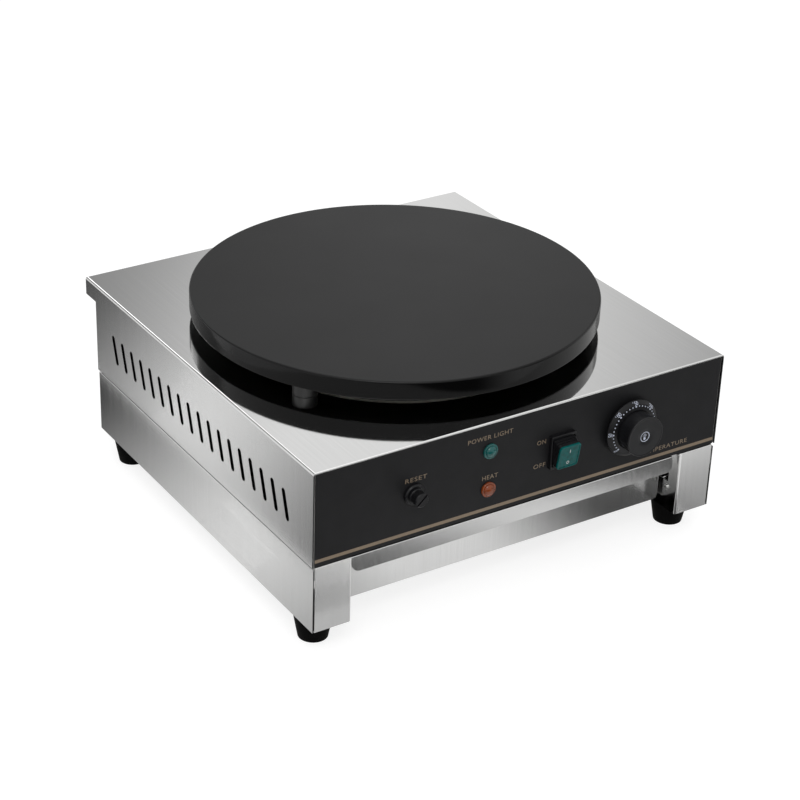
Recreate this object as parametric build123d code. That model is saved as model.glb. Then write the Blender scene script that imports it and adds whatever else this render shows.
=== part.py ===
from build123d import *
import os
from math import cos, degrees, pi, radians, sin

os.makedirs("parts", exist_ok=True)

# An electric crepe maker: a round cast griddle plate on three posts over a box of
# bent stainless sheet, with a control panel in front and a drawer in the base.
# Millimetres. +Z is up, the front faces -Y, X runs to the right seen from the front.
# The origin is at the bottom centre of the whole machine, on the table.

# ---------------------------------------------------------------- body, driving sizes
body_width = 452.4            # over the upper housing's sides
body_depth = 452.0            # front face to the rear edge of the top sheet
rear_overhang = 22.0          # the top sheet reaches this far behind the rear wall
rear_flange_height = 18.8     # the turned-down rear edge of the top sheet
upper_height = 96.0           # side sheets of the upper housing
base_height = 67.9            # legs and side sheets of the base
base_inset = 1.2              # the base's sides stand back from the housing's
sheet = 1.0                   # stainless sheet
inside_bend = 0.2             # inside radius of the top's bends at the front and rear
inside_side_bend = 1.5        # inside radius of the top's bends to the sides
edge_round = 0.8              # rounded outer edge of the base's sheets
corner_seam = 1.0             # open seam between a side sheet and what stands beside it
lip_flat = 0.5                # top sheet's turned-down front edge, below its bend

# ---------------------------------------------------------------- folded edges
pan_rim = 14.0                # turned-up edge of the floor pan
panel_flange = 12.0           # turned-back sides of the front and rear panels
panel_flange_start = 16.0     # housing's lower edge to those sides, above the pan's rim
base_flange = 12.0            # turned-in edges of the base's sheets
side_drop = 1.7                # a side sheet of the base ends this much below the base's top
fold_gap = 1.0                # from the end of a folded edge to the next sheet

# ---------------------------------------------------------------- fasteners
screw_room = 0.2              # round a screw in its hole
housing_screw = 4.0
housing_screw_length = 9.0
side_screw = 3.0
side_screw_length = 5.0
foot_screw = 5.0
foot_washer_radius = 5.5
foot_washer = 1.0
nut_spread = 1.65             # a nut's width across its flats, over its thread
nut_height = 0.8              # a nut's height, over its thread
panel_nut_spread = 1.4        # the same for the thin nuts behind the panels
panel_nut_height = 3.0
pan_screw_inset = 14.0        # end of a leg's top flange to its screw
rear_screw_count = 4
rear_screw_inset = 23.2       # side of the rear panel to its first screw
rear_screw_rise = 8.0
leg_screw_near = 15.1         # leg's face to the screw beside the notch
leg_screw_near_rise = 24.1
leg_screw_far = 46.0          # leg's face to the runner's screw
leg_screw_far_rise = 30.0

# ---------------------------------------------------------------- vent slots
slot_count = 18
slot_pitch = 20.0
slot_length = 31.2
slot_width = 6.2
slot_lean = 17.0              # degrees, top towards the rear
slot_pattern_depth = 217.1    # front face to the middle of the row
slot_height = 40.7            # lower edge of the side sheet to the middle of a slot

# ---------------------------------------------------------------- feet
foot_height = 26.3
foot_top_radius = 19.0
foot_bottom_radius = 14.2
foot_edge = 2.5
foot_inset_side = 20.0        # outer face of the side sheet to a foot's centre
foot_inset_end = 32.1         # front face, or rear wall, to a foot's centre
foot_bore = 5.4
foot_counterbore = 12.0
foot_counterbore_depth = 16.0

# ---------------------------------------------------------------- legs of the base
leg_face_width = 38.2         # corner seam to the leg's inner side
leg_depth = 60.0
leg_bend = 2.0
notch_width = 15.0            # slot for the drawer stop in the leg's inner side
notch_height = 9.5
notch_depth = 13.7            # front face to the notch
notch_rise = 30.3             # bottom of the leg to the notch

# ---------------------------------------------------------------- griddle plate
plate_diameter = 400.0
plate_thickness = 18.7
plate_gap = 12.0              # top sheet to the underside of the plate
plate_setback = 226.8         # front face to the plate's centre
plate_chamfer = 1.2
plate_bottom_round = 1.0
recess_radius = 162.0         # hollow under the plate that holds the heating elements
recess_depth = 11.0
post_circle = 368.6
post_count = 3
post_first_angle = 211.4
post_diameter = 24.0
post_bolt = 8.0
post_bolt_grip = 9.0          # bolt length inside the plate
post_bore_clearance = 0.3
washer_thickness = 1.6
washer_radius = 9.0
post_bolt_head = 5.3
post_bolt_slack = 1.0         # blind hole deeper than the bolt

# ---------------------------------------------------------------- heating set
element_tube = 7.0
element_outer_radius = 135.0
element_inner_radius = 80.0
element_gap_half = 28.0       # half of the open stretch of a ring, along X
element_turn = 10.0           # radius where a ring's end turns down
element_drop = 30.0           # how far a terminal reaches below the top sheet
terminal_pin = 4.0
terminal_pin_length = 10.0
press_gap = 0.1               # element to the plate, and cover to the element
cover_radius = 156.0
cover_thickness = 1.2
insulation_thickness = 4.0
shield_thickness = 0.8
cover_stud = 8.0
stud_clearance = 0.3
stud_tail = 7.0               # stud below the heating set
clamp_washer = 1.2
clamp_washer_radius = 10.0
terminal_window = 4.0         # room round the terminals in the heating set's discs
shield_overlap = 3.0          # heat shield beyond the cover
bushing_barrel = 11.0
bushing_collar = 15.0
bushing_collar_height = 2.0
bushing_length = 14.0
bulb_diameter = 6.0
bulb_length = 80.0
bulb_radius_place = 108.0     # plate centre to a sensor bulb
capillary = 2.0
capillary_hole = 6.0
bushing_fit = 0.1             # round the element in its bushing
bulb_turn = 14.0              # a bulb's end to where its capillary goes down
capillary_drop = 18.0         # top sheet to the capillary's first bend
capillary_rise = 6.0          # above the middle of the body that it enters
capillary_lead = 14.0         # straight run behind that body
capillary_bend = 8.0
capillary_tight_bend = 5.0

# ---------------------------------------------------------------- controls
overlay_margin = 0.8          # bare sheet left at each side of the overlay
control_seat = 0.3            # how far the black overlay sits behind the front face
overlay_gap_below = 0.4
overlay_gap_above = 0.2
blade = 6.0                   # width of a terminal blade
blade_thickness = 0.8
blade_length = 8.0
blade_spread = 6.0            # body's middle to a blade, to each side
blade_drop = 8.0              # and below it
lamp_blade = 3.0
case_round = 3.0              # rounded edges of the switch boxes

reset_x = -122.3
reset_height = 45.8           # heights of the controls above the housing's lower edge
lamp_x = -40.9
power_lamp_height = 66.3
heat_lamp_height = 26.4
switch_x = 38.9
switch_height = 46.1
knob_x = 116.0
knob_height = 49.9

dial_radius = 28.9
dial_rim = 6.4                # front face to the dial's outer edge
dial_stand_off = 0.8
dial_hub_wall = 2.8           # hub round the grip's foot, under the dial's disc
dial_disc = 1.4               # disc's thickness at its rim
dial_edge = 0.6
dial_shoulder_radius = 25.6   # where the dial's surface turns flatter
dial_shoulder_rise = 2.6      # that place over the rim
dial_rise = 3.8               # the dial's inner edge over the rim
grip_base_radius = 19.5
grip_clearance = 0.3
grip_wall = 1.9
grip_hollow_depth = 3.0
grip_face_radius = 20.2
grip_base_reach = 10.8        # front face to where the grip starts to widen
knob_reach = 26.5             # front face to the knob's face
knob_cap_radius = 17.0
knob_cap_thickness = 1.2
knob_cap_fit = 0.05
knob_dish_radius = 140.0
knob_dish_depth = 0.8
knob_edge = 1.4
shaft_radius = 3.0
shaft_reach = 20.0            # front face to the shaft's front end
shaft_tail = 18.0             # front face to the end of the shaft's bore in the thermostat
shaft_flat = 1.3              # depth of the flat on the shaft
running_fit = 0.05
thermostat_size = 36.0
thermostat_depth = 22.0
thermostat_bush_radius = 4.9
thermostat_bush_reach = 0.2
thermostat_screw_half = 11.0
thermostat_screw = 3.2
thermostat_screw_length = 8.0
bush_fit = 0.1                # round the thermostat's bush in the panel

bezel_radius = 10.4
bezel_reach = 3.6
neck_radius = 5.0
neck_reach = 9.0
cutout_thread_radius = 6.0
bezel_chamfer = 1.2
cap_radius = 6.9
cap_reach = 14.2
cap_roof = 3.0
cap_flare = 0.6               # the cap's wider foot
cap_flare_height = 1.6
cap_chamfer = 0.8
cap_clearance = 0.3
cap_slot_width = 1.6
cap_slot_depth = 1.8
cap_slot_angle = 42.0
button_radius = 3.0
button_reach = 8.6
button_travel = 2.0
button_pocket_depth = 5.0     # how deep the button's tail hole runs into the cut-out
button_clearance = 0.3
cutout_size = 28.0
cutout_start = 14.0           # front face to the front of the cut-out's body
cutout_depth = 26.0

lens_radius = 7.6
lens_reach = 4.6
lens_rim = 1.4
lamp_barrel_radius = 5.0
lamp_body_radius = 6.5
lamp_body_length = 24.0
lamp_seat = 8.0               # front face to the front of the lamp's body
lamp_barrel_wall = 0.8
dome_inset = 0.9              # lens rim to the foot of its dome
dome_foot = 0.3

switch_width = 27.6
switch_frame_height = 34.2
switch_frame_reach = 4.4
switch_frame_bevel = 0.5
switch_case_width = 26.6
switch_case_height = 31.6
switch_case_depth = 24.0
case_fit = 0.1                # round the switch's case in the panel
rocker_pivot_reach = 3.2      # front face to the rocker's pivot
rocker_tilt = 10.2            # each way from the middle
rocker_clearance = 0.3
rocker_pin = 1.5
rocker_face_reach = 10.2      # the next reaches are measured from the pivot
rocker_step_reach = 4.4
rocker_skirt_reach = 1.8
rocker_tail_reach = -4.0
rocker_skirt_width = 25.0
rocker_skirt_height = 28.0
rocker_side_step = 0.4        # each step is this much narrower at each side
rocker_end_step = 0.65        # and this much shorter at each end
rocker_round = 3.0
rocker_lens_thickness = 2.0
rocker_lens_rim = 1.4
rocker_lens_dip = 0.5

# ---------------------------------------------------------------- drawer
drawer_side_gap = 3.3         # leg's inner side to the drawer
drawer_setback = 24.0         # front face of the body to the drawer's front sheet
drawer_rise = 7.4             # bottom of the base to the drawer's bottom
drawer_top = 62.3             # bottom of the base to the top of the pull
pull_setback = 8.0            # front face of the body to the pull's upper edge
pull_toe = 3.5                # the pull's lower edge stands this much further out
pull_height = 14.5
pull_round = 8.0
front_round = 6.0
tray_rear_gap = 25.0          # tray to the rear wall
tray_wall = 36.0
tray_bend = 2.0
front_bend = 1.2              # outer radius of the fold at the drawer's top
slide_gap = 0.3
runner_start = 34.0           # front face to the front end of a runner
runner_ledge = 12.0
runner_tip_gap = 1.5          # tray wall to the runner's upper ledge

# ---------------------------------------------------------------- inside and rear
terminal_block_size = (46.0, 18.0, 16.0)
terminal_ways = 3
terminal_screw_radius = 3.0
terminal_screw_depth = 5.0
terminal_inset = 60.0         # rear wall to the terminals
earth_spacing = 50.0          # terminals to the earth stud
earth_thread = 5.0
earth_length = 16.0
gland_inset = 75.0            # side sheet to the gland's centre
gland_height = 30.0           # housing's lower edge to the gland's centre
gland_hex = 22.0
gland_hex_length = 6.0
gland_reach = 18.0
gland_tail = 14.0             # thread inside the rear panel
gland_wall = 1.5
gland_round = 3.0
gland_bore_radius = 4.6
gland_thread_radius = 8.0
wire = 3.0
wire_rise = 6.0               # floor pan to the wires
wire_run = 120.0              # front face to the run across the floor pan
wire_spacing = 14.0
wire_bend = 12.0
wire_tight_bend = 5.0

# ---------------------------------------------------------------- derived places
half = body_width / 2
inner_half = half - sheet
base_half = half - base_inset
base_inner = base_half - sheet
base_seam = base_inner - corner_seam     # outer edge of a leg's face
bend = sheet + inside_bend               # outer radius of the front and rear bends
side_bend = sheet + inside_side_bend
front_lip = bend + lip_flat
front_y = -(body_depth + knob_reach) / 2 + knob_reach
rear_edge_y = front_y + body_depth
rear_wall_y = rear_edge_y - rear_overhang
base_z = foot_height
seam_z = base_z + base_height            # top of the base
housing_z = seam_z + sheet               # lower edge of the upper housing
top_z = housing_z + upper_height         # upper face of the top sheet
under_top = top_z - sheet
plate_z = top_z + plate_gap
ceiling_z = plate_z + recess_depth       # what the heating elements press against
plate_y = front_y + plate_setback
panel_half = inner_half - corner_seam
leg_inner = base_seam - leg_face_width
drawer_half_width = leg_inner - drawer_side_gap
rocker_step_width = rocker_skirt_width - 2 * rocker_side_step
rocker_step_height = rocker_skirt_height - 2 * rocker_end_step
rocker_face_width = rocker_step_width - 2 * rocker_side_step
rocker_face_height = rocker_step_height - 2 * rocker_end_step
tray_length = body_depth - rear_overhang - drawer_setback - sheet - tray_rear_gap
gland_x = half - gland_inset
panel_y = front_y + sheet                # front of the sheet behind the overlay
panel_back = panel_y + sheet


def block(x0, x1, y0, y1, z0, z1):
    """A box between two corners."""
    size = (abs(x1 - x0), abs(y1 - y0), abs(z1 - z0))
    middle = ((x0 + x1) / 2, (y0 + y1) / 2, (z0 + z1) / 2)
    return Pos(*middle) * Box(*size)


def rod(radius, start, direction, length):
    """A cylinder that starts at a point and runs along a direction."""
    place = Plane(origin=start, z_dir=direction)
    return place * Cylinder(radius, length, align=(Align.CENTER, Align.CENTER, Align.MIN))


def turned(points, start, direction):
    """A turned piece: its (radius, distance) outline, carried round an axis."""
    outline = make_face(Polyline(*[(r, 0, d) for r, d in points], close=True))
    return Plane(origin=start, z_dir=direction) * revolve(outline, Axis.Z)


def outward(x, height):
    """The point on the front plane at a control's place."""
    return (x, front_y, housing_z + height)


def from_front(points, x, height):
    """A turned piece whose distances are measured forward from the front face."""
    return turned(points, outward(x, height), (0, -1, 0))


def front_rod(radius, x, height, start, end):
    """A cylinder along Y between two distances forward of the front face."""
    return rod(radius, (x, front_y - start, housing_z + height), (0, -1, 0), end - start)


def rounded_frame(width, height, corner, reach_from, reach_to, x, place):
    """A rounded rectangle on the front face, between two distances forward."""
    base = Plane(origin=(x, front_y - reach_from, housing_z + place), x_dir=(1, 0, 0), z_dir=(0, -1, 0))
    return extrude(base * RectangleRounded(width, height, corner), reach_to - reach_from)


def edges_near(shape, axis, low, high, along=None):
    """The edges whose middle lies between two values of an axis, and that run along another."""
    picked = shape.edges().filter_by_position(axis, low, high)
    return picked.filter_by(along) if along else picked


def hex_solid(across, height, start, direction):
    place = Plane(origin=start, z_dir=direction)
    return extrude(place * RegularPolygon(across / 2, 6, major_radius=False), height)


def hex_bolt(diameter, length, head_height, across, start, direction):
    """A hexagon bolt: its shank runs from start along direction, its head lies behind start."""
    back = tuple(-c for c in direction)
    return rod(diameter / 2, start, direction, length) + hex_solid(across, head_height, start, back)


def nut(diameter, across, height, start, direction):
    return hex_solid(across, height, start, direction) - rod(diameter / 2, start, direction, height)


def plain_nut(diameter, start, direction):
    return nut(diameter, diameter * nut_spread, diameter * nut_height, start, direction)


def panel_nut(diameter, start, direction):
    return nut(diameter, diameter * panel_nut_spread, panel_nut_height, start, direction)


def ring(outer, inner, start, direction, height):
    """A washer or a sleeve."""
    return rod(outer, start, direction, height) - rod(inner, start, direction, height)


def pan_screw(diameter, length, start, direction):
    """A pan-head screw with a cross recess: shank along direction, head behind start."""
    back = tuple(-c for c in direction)
    head_radius, head_height = diameter, diameter * 0.55
    head = rod(head_radius, start, back, head_height)
    head = fillet(head.edges().sort_by_distance(start)[-1], head_height * 0.6)
    place = Plane(origin=tuple(s + b * head_height for s, b in zip(start, back)), z_dir=back)
    bar = Box(diameter * 1.1, diameter * 0.22, head_height)
    cross = place * (bar + Rot(0, 0, 90) * bar)
    return rod(diameter / 2, start, direction, length) + (head - cross)


def tube_path(points, radii):
    """A wire of straight runs joined by tangent arcs."""
    return FilletPolyline(*points, radius=radii)


def tube(points, radii, diameter):
    """A round tube along straight runs and arcs."""
    path = tube_path(points, radii).wire()
    section = Plane(origin=path @ 0, z_dir=path % 0) * Circle(diameter / 2)
    return sweep(section, path=path)


def save(name, shape):
    """Write one node, as one solid or a group of separate solids."""
    solids = shape.solids()
    whole = solids[0] if len(solids) == 1 else Compound(children=list(solids))
    whole.label = name
    export_step(whole, f"parts/{name}.step")


def group(shapes):
    """Several separate solids in one node."""
    return Compound(children=[solid for shape in shapes for solid in shape.solids()])


# ================================================================ upper housing
def vent_slots():
    """The row of leaning slots, cut through both side sheets at once."""
    slots = []
    for index in range(slot_count):
        depth = slot_pattern_depth + (index - (slot_count - 1) / 2) * slot_pitch
        centre = (0, front_y + depth, housing_z + slot_height)
        lean = radians(slot_lean)
        place = Plane(origin=centre, x_dir=(0, sin(lean), cos(lean)), z_dir=(1, 0, 0))
        slots.append(extrude(place * SlotOverall(slot_length, slot_width), body_width, both=True))
    return slots


def post_places():
    """Where the plate's posts stand, on the post circle."""
    step = 360.0 / post_count
    angles = [radians(post_first_angle + step * index) for index in range(post_count)]
    return [(post_circle / 2 * cos(a), plate_y + post_circle / 2 * sin(a)) for a in angles]


def terminal_places(radius):
    """Where a ring's two ends go down, left and right of the rear."""
    angle = pi / 2 - element_gap_half / radius
    x = radius * cos(angle) - element_turn * sin(angle)
    y = plate_y + radius * sin(angle) + element_turn * cos(angle)
    return [(-x, y), (x, y)]


def all_terminals():
    return terminal_places(element_outer_radius) + terminal_places(element_inner_radius)


def capillary_places():
    """Where the two capillaries pass the top sheet: thermostat first, then cut-out."""
    reach = bulb_length / 2 + bulb_turn
    return [(reach, plate_y - bulb_radius_place), (-bulb_radius_place, plate_y - reach)]


def rounded_sides(half_width, top, radius):
    """A block as wide as given, longer than the housing, with rounded long edges on top."""
    body = block(-half_width, half_width, front_y - 1, rear_edge_y + 1, housing_z - 2, top)
    return fillet(edges_near(body, Axis.Z, top - 0.01, top + 0.01, Axis.Y), radius)


def upper_housing():
    """Top, both sides and the rear overhang, bent from one sheet."""
    outer = block(-half, half, front_y, rear_wall_y, housing_z, top_z)
    outer += block(-half, half, rear_wall_y - 1, rear_edge_y, top_z - rear_flange_height, top_z)
    outer = fillet(edges_near(outer, Axis.Z, top_z - 0.01, top_z + 0.01, Axis.X), bend)
    flange_z = top_z - rear_flange_height
    rear_face = outer.faces().sort_by(Axis.Y)[-1]
    outer = fillet(edges_near(rear_face, Axis.Z, flange_z - 0.1, flange_z + 0.1), edge_round)
    inner = block(-inner_half, inner_half, front_y + sheet, rear_wall_y, housing_z - 1, under_top)
    inner += block(-inner_half, inner_half, rear_wall_y - 1, rear_edge_y - sheet, flange_z + sheet, under_top)
    inner = fillet(edges_near(inner, Axis.Z, under_top - 0.01, under_top + 0.01, Axis.X), inside_bend)
    shell = outer & rounded_sides(half, top_z, side_bend)
    shell -= inner & rounded_sides(inner_half, under_top, inside_side_bend)
    opening_top = top_z - front_lip
    shell -= block(-inner_half, inner_half, front_y - 1, front_y + sheet + 0.5, housing_z - 1, opening_top)
    for place in vent_slots():
        shell -= place
    for x, y in post_places():
        shell -= rod(post_bolt / 2 + post_bore_clearance, (x, y, under_top - 1), (0, 0, 1), sheet + 2)
    for x, y in all_terminals():
        shell -= rod(bushing_barrel / 2, (x, y, under_top - 1), (0, 0, 1), sheet + 2)
    for x, y in capillary_places():
        shell -= rod(capillary_hole / 2, (x, y, under_top - 1), (0, 0, 1), sheet + 2)
    return shell


def floor_pan():
    """The tray that closes the housing from below and stands on the base."""
    back = rear_wall_y - sheet
    hole = housing_screw / 2 + screw_room
    pan = block(-inner_half, inner_half, panel_back, back, seam_z, housing_z + pan_rim)
    pan -= block(-inner_half + sheet, inner_half - sheet, panel_back + sheet, back - sheet, housing_z, top_z)
    for x, y in pan_screw_places():
        pan -= rod(hole, (x, y, seam_z - 1), (0, 0, 1), sheet + 2)
    for x, z in rear_screw_places():
        pan -= rod(hole, (x, back + 1, z), (0, -1, 0), sheet + 2)
    return pan


def pan_screw_places():
    """Screws that hold the housing on the base, through the legs' top flanges."""
    x = (leg_inner + base_inner) / 2
    ends = (front_y + leg_depth - pan_screw_inset, rear_wall_y - leg_depth + pan_screw_inset)
    return [(side * x, y) for side in (-1, 1) for y in ends]


def rear_screw_places():
    """Screws along the lower edge of the rear panel."""
    reach = panel_half - rear_screw_inset
    step = 2 * reach / (rear_screw_count - 1)
    return [(index * step - reach, housing_z + rear_screw_rise) for index in range(rear_screw_count)]


def front_panel():
    """The sheet that carries the controls, with a turned-back flange at each side."""
    top = top_z - bend
    panel = block(-panel_half, panel_half, panel_y, panel_back, housing_z, top)
    for side in (-1, 1):
        outer, inner = side * panel_half, side * (panel_half - sheet)
        panel += block(outer, inner, panel_y, panel_back + panel_flange, housing_z + panel_flange_start, top)
    return panel - control_holes(panel_y - 1, panel_back + 1)


def control_holes(y0, y1):
    """Openings for the controls, as solids between two Y planes."""
    depth = y1 - y0
    cut = rod(cutout_thread_radius + screw_room, (reset_x, y0, housing_z + reset_height), (0, 1, 0), depth)
    for height in (power_lamp_height, heat_lamp_height):
        cut += rod(lamp_barrel_radius, (lamp_x, y0, housing_z + height), (0, 1, 0), depth)
    cut += rod(thermostat_bush_radius + bush_fit, (knob_x, y0, housing_z + knob_height), (0, 1, 0), depth)
    for side in (-1, 1):
        screw_x = knob_x + side * thermostat_screw_half
        screw_at = (screw_x, y0, housing_z + knob_height)
        cut += rod(thermostat_screw / 2 + screw_room, screw_at, (0, 1, 0), depth)
    z = housing_z + switch_height
    half_w = switch_case_width / 2 + case_fit
    half_h = switch_case_height / 2 + case_fit
    return cut + block(switch_x - half_w, switch_x + half_w, y0, y1, z - half_h, z + half_h)


def control_overlay():
    """The black face plate over the front panel, a little behind the side sheets' edges."""
    width = panel_half - overlay_margin
    low, high = housing_z + overlay_gap_below, top_z - front_lip - overlay_gap_above
    face = block(-width, width, front_y + control_seat, panel_y, low, high)
    return face - control_holes(front_y - 1, panel_y + 1)


def rear_panel():
    """The rear wall, with the hole for the cord gland."""
    back = rear_wall_y
    panel = block(-panel_half, panel_half, back - sheet, back, housing_z, top_z - bend)
    for side in (-1, 1):
        outer, inner = side * panel_half, side * (panel_half - sheet)
        panel += block(outer, inner, back - panel_flange, back, housing_z + panel_flange_start, top_z - bend)
    panel -= rod(gland_thread_radius, (gland_x, back + 1, housing_z + gland_height), (0, -1, 0), sheet + 2)
    for x, z in rear_screw_places():
        panel -= rod(housing_screw / 2 + screw_room, (x, back + 1, z), (0, -1, 0), sheet + 2)
    return panel


# ================================================================ base
def base_side(side):
    """One side sheet of the base, with flanges turned in between the legs."""
    outer, inner = side * base_half, side * base_inner
    high = seam_z - side_drop
    wall = block(outer, inner, front_y, rear_wall_y, base_z, high)
    outer_edges = wall.edges().filter_by(Axis.Y).filter_by_position(Axis.X, outer - 0.01, outer + 0.01)
    wall = fillet(outer_edges.sort_by(Axis.Z)[-1], edge_round)
    start, end = front_y + leg_depth + fold_gap, rear_wall_y - leg_depth - fold_gap
    for z in (base_z, high - sheet):
        wall += block(inner + side * sheet / 2, inner - side * base_flange, start, end, z, z + sheet)
    return wall


def leg(side, front):
    """A corner leg: face, inner side, and flanges above and below."""
    forward = -1 if front else 1
    face_y = front_y if front else rear_wall_y
    back_y = face_y - forward * leg_depth
    inner = side * leg_inner
    body = block(inner, side * base_seam, face_y, back_y, base_z, seam_z)
    upright = body.edges().filter_by(Axis.Z).sort_by_distance((inner, face_y, base_z))[0]
    body = fillet(upright, leg_bend)
    top_front = body.edges().filter_by(Axis.X).sort_by_distance((inner, face_y, seam_z))[0]
    body = fillet(top_front, edge_round)
    hollow_y = face_y - forward * sheet
    low, high = base_z + sheet, seam_z - sheet
    hollow = block(inner + side * sheet, side * base_half, hollow_y, back_y - forward, low, high)
    near = hollow.edges().filter_by(Axis.Z).sort_by_distance((inner, face_y, base_z))[0]
    body -= fillet(near, leg_bend - sheet)
    start_y = face_y - forward * 2 * sheet
    for z in (base_z, high):
        body += block(side * (base_seam - sheet / 2), side * base_inner, start_y, back_y, z, z + sheet)
    foot_x, foot_y = side * (base_half - foot_inset_side), face_y - forward * foot_inset_end
    body -= rod(foot_bore / 2, (foot_x, foot_y, base_z - 1), (0, 0, 1), sheet + 2)
    for x, y in pan_screw_places():
        body -= rod(housing_screw / 2 + screw_room, (x, y, seam_z - sheet - 1), (0, 0, 1), sheet + 2)
    if front:
        body -= notch(inner - side, inner + side * 2)
    for y, z in leg_screw_places(face_y, forward):
        body -= rod(side_screw_hole(), (inner - side, y, z), (side, 0, 0), sheet + 2)
    return body


def notch(x0, x1):
    """The slot for the drawer stop in a front leg's inner side."""
    y, z = front_y + notch_depth, base_z + notch_rise
    return block(x0, x1, y, y + notch_width, z, z + notch_height)


def side_screw_hole():
    return side_screw / 2 + screw_room / 2


def leg_screw_places(face_y, forward):
    """Two screws that hold a runner, or stand beside the notch, in a leg's inner side."""
    near = (face_y - forward * leg_screw_near, base_z + leg_screw_near_rise)
    far = (face_y - forward * leg_screw_far, base_z + leg_screw_far_rise)
    return [near, far]


def leg_list():
    """Every leg's name, side and whether it is a front one."""
    return [(f"{'front' if front else 'rear'}_{'left' if side < 0 else 'right'}", side, front)
            for front in (True, False) for side in (-1, 1)]


def base_rear_panel():
    """Closes the drawer's bay at the rear, between the rear legs."""
    width = leg_inner
    start = rear_wall_y - base_flange
    panel = block(-width, width, rear_wall_y - sheet, rear_wall_y, base_z, seam_z)
    for z in (base_z, seam_z - sheet):
        panel += block(-width, width, start, rear_wall_y - sheet, z, z + sheet)
    for side in (-1, 1):
        panel += block(side * width, side * (width - sheet), start, rear_wall_y, base_z, seam_z)
    return panel


def drawer_runner(side):
    """A channel that carries one edge of the drawer and keeps it from tipping."""
    start, end = front_y + runner_start, rear_wall_y - base_flange - 2 * fold_gap
    outer = side * leg_inner
    low = base_z + drawer_rise - slide_gap - sheet
    high = base_z + drawer_rise + tray_wall + runner_tip_gap + sheet
    rail = block(outer, outer - side * sheet, start, end, low, high)
    for z in (low, high - sheet):
        rail += block(outer, outer - side * runner_ledge, start, end, z, z + sheet)
    for place in (front_y + leg_screw_far, rear_wall_y - leg_screw_far):
        at = (outer + side, place, base_z + leg_screw_far_rise)
        rail -= rod(side_screw_hole(), at, (-side, 0, 0), sheet + 2)
    return rail


def foot(side, front):
    """A tapered rubber foot with a counterbore for its screw."""
    x, y = foot_place(side, front)
    body = Pos(x, y, foot_height / 2) * Cone(foot_bottom_radius, foot_top_radius, foot_height)
    body = fillet(body.edges().sort_by(Axis.Z)[0], foot_edge)
    body -= rod(foot_counterbore / 2, (x, y, -1), (0, 0, 1), foot_counterbore_depth + 1)
    return body - rod(foot_bore / 2, (x, y, 0), (0, 0, 1), foot_height + 1)


def foot_place(side, front):
    y = front_y + foot_inset_end if front else rear_wall_y - foot_inset_end
    return side * (base_half - foot_inset_side), y


def foot_screws():
    """A screw, a washer and a nut for each foot."""
    pieces = []
    seat = foot_counterbore_depth
    length = foot_washer + foot_height - seat + sheet + foot_screw * (nut_height + 0.4)
    for name, side, front in leg_list():
        x, y = foot_place(side, front)
        start = (x, y, seat - foot_washer)
        pieces.append(ring(foot_washer_radius, foot_bore / 2, start, (0, 0, 1), foot_washer))
        pieces.append(pan_screw(foot_screw, length, start, (0, 0, 1)))
        pieces.append(plain_nut(foot_screw, (x, y, base_z + sheet), (0, 0, 1)))
    return group(pieces)


# ================================================================ plate and heating set
def griddle_plate():
    """The cast plate, with a hollow below for the elements and a blind hole over each post."""
    radius = plate_diameter / 2
    top = plate_thickness
    outline = [(0, recess_depth), (recess_radius, recess_depth), (recess_radius, 0),
               (radius - plate_bottom_round, 0), (radius, plate_bottom_round), (radius, top - plate_chamfer),
               (radius - plate_chamfer, top), (0, top)]
    plate = turned(outline, (0, plate_y, plate_z), (0, 0, 1))
    for x, y in post_places():
        plate -= rod(post_bolt / 2, (x, y, plate_z), (0, 0, 1), post_bolt_grip)
    return plate


def post(place):
    """A short sleeve that holds the plate above the top sheet."""
    x, y = place
    return ring(post_diameter / 2, post_bolt / 2 + post_bore_clearance, (x, y, top_z), (0, 0, 1), plate_gap)


def post_bolts():
    """Bolts from inside the housing, each with a washer, through the posts into the plate."""
    length = washer_thickness + sheet + plate_gap + post_bolt_grip - post_bolt_slack
    start = under_top - washer_thickness
    bore = post_bolt / 2 + post_bore_clearance
    pieces = []
    for x, y in post_places():
        across = post_bolt * nut_spread
        pieces.append(hex_bolt(post_bolt, length, post_bolt_head, across, (x, y, start), (0, 0, 1)))
        pieces.append(ring(washer_radius, bore, (x, y, start), (0, 0, 1), washer_thickness))
    return group(pieces)


element_z = ceiling_z - press_gap - element_tube / 2
cover_top = element_z - element_tube / 2 - press_gap


def heating_element(radius):
    """A tubular ring under the plate, open at the rear, where its ends turn down."""
    half_angle = element_gap_half / radius
    low_z = top_z - element_drop
    arcs = []
    for side in (-1, 1):
        angle = pi / 2 - side * half_angle
        end = (radius * cos(angle), plate_y + radius * sin(angle), element_z)
        along = (-side * sin(angle), side * cos(angle))
        corner = (end[0] + along[0] * element_turn, end[1] + along[1] * element_turn)
        turn_plane = Plane(origin=end, x_dir=(along[0], along[1], 0), z_dir=(-along[1], along[0], 0))
        arcs.append((end, corner, angle, turn_plane))
    start_angle = 90.0 + degrees(half_angle)
    sweep_angle = 360.0 - 2 * degrees(half_angle)
    round_arc = Pos(0, plate_y, element_z) * CenterArc((0, 0), radius, start_angle, sweep_angle)
    body = sweep(Plane(origin=round_arc @ 0, z_dir=round_arc % 0) * Circle(element_tube / 2), path=round_arc)
    for end, corner, angle, turn_plane in arcs:
        below = (corner[0], corner[1], element_z - element_turn)
        share = sin(pi / 4)
        middle = (end[0] + (corner[0] - end[0]) * share, end[1] + (corner[1] - end[1]) * share,
                  element_z - element_turn * (1 - share))
        turn = ThreePointArc(end, middle, below)
        body += sweep(Plane(origin=end, z_dir=turn % 0) * Circle(element_tube / 2), path=turn)
        body += rod(element_tube / 2, below, (0, 0, -1), below[2] - low_z)
        body += rod(terminal_pin / 2, (below[0], below[1], low_z), (0, 0, -1), terminal_pin_length)
    return body


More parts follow.
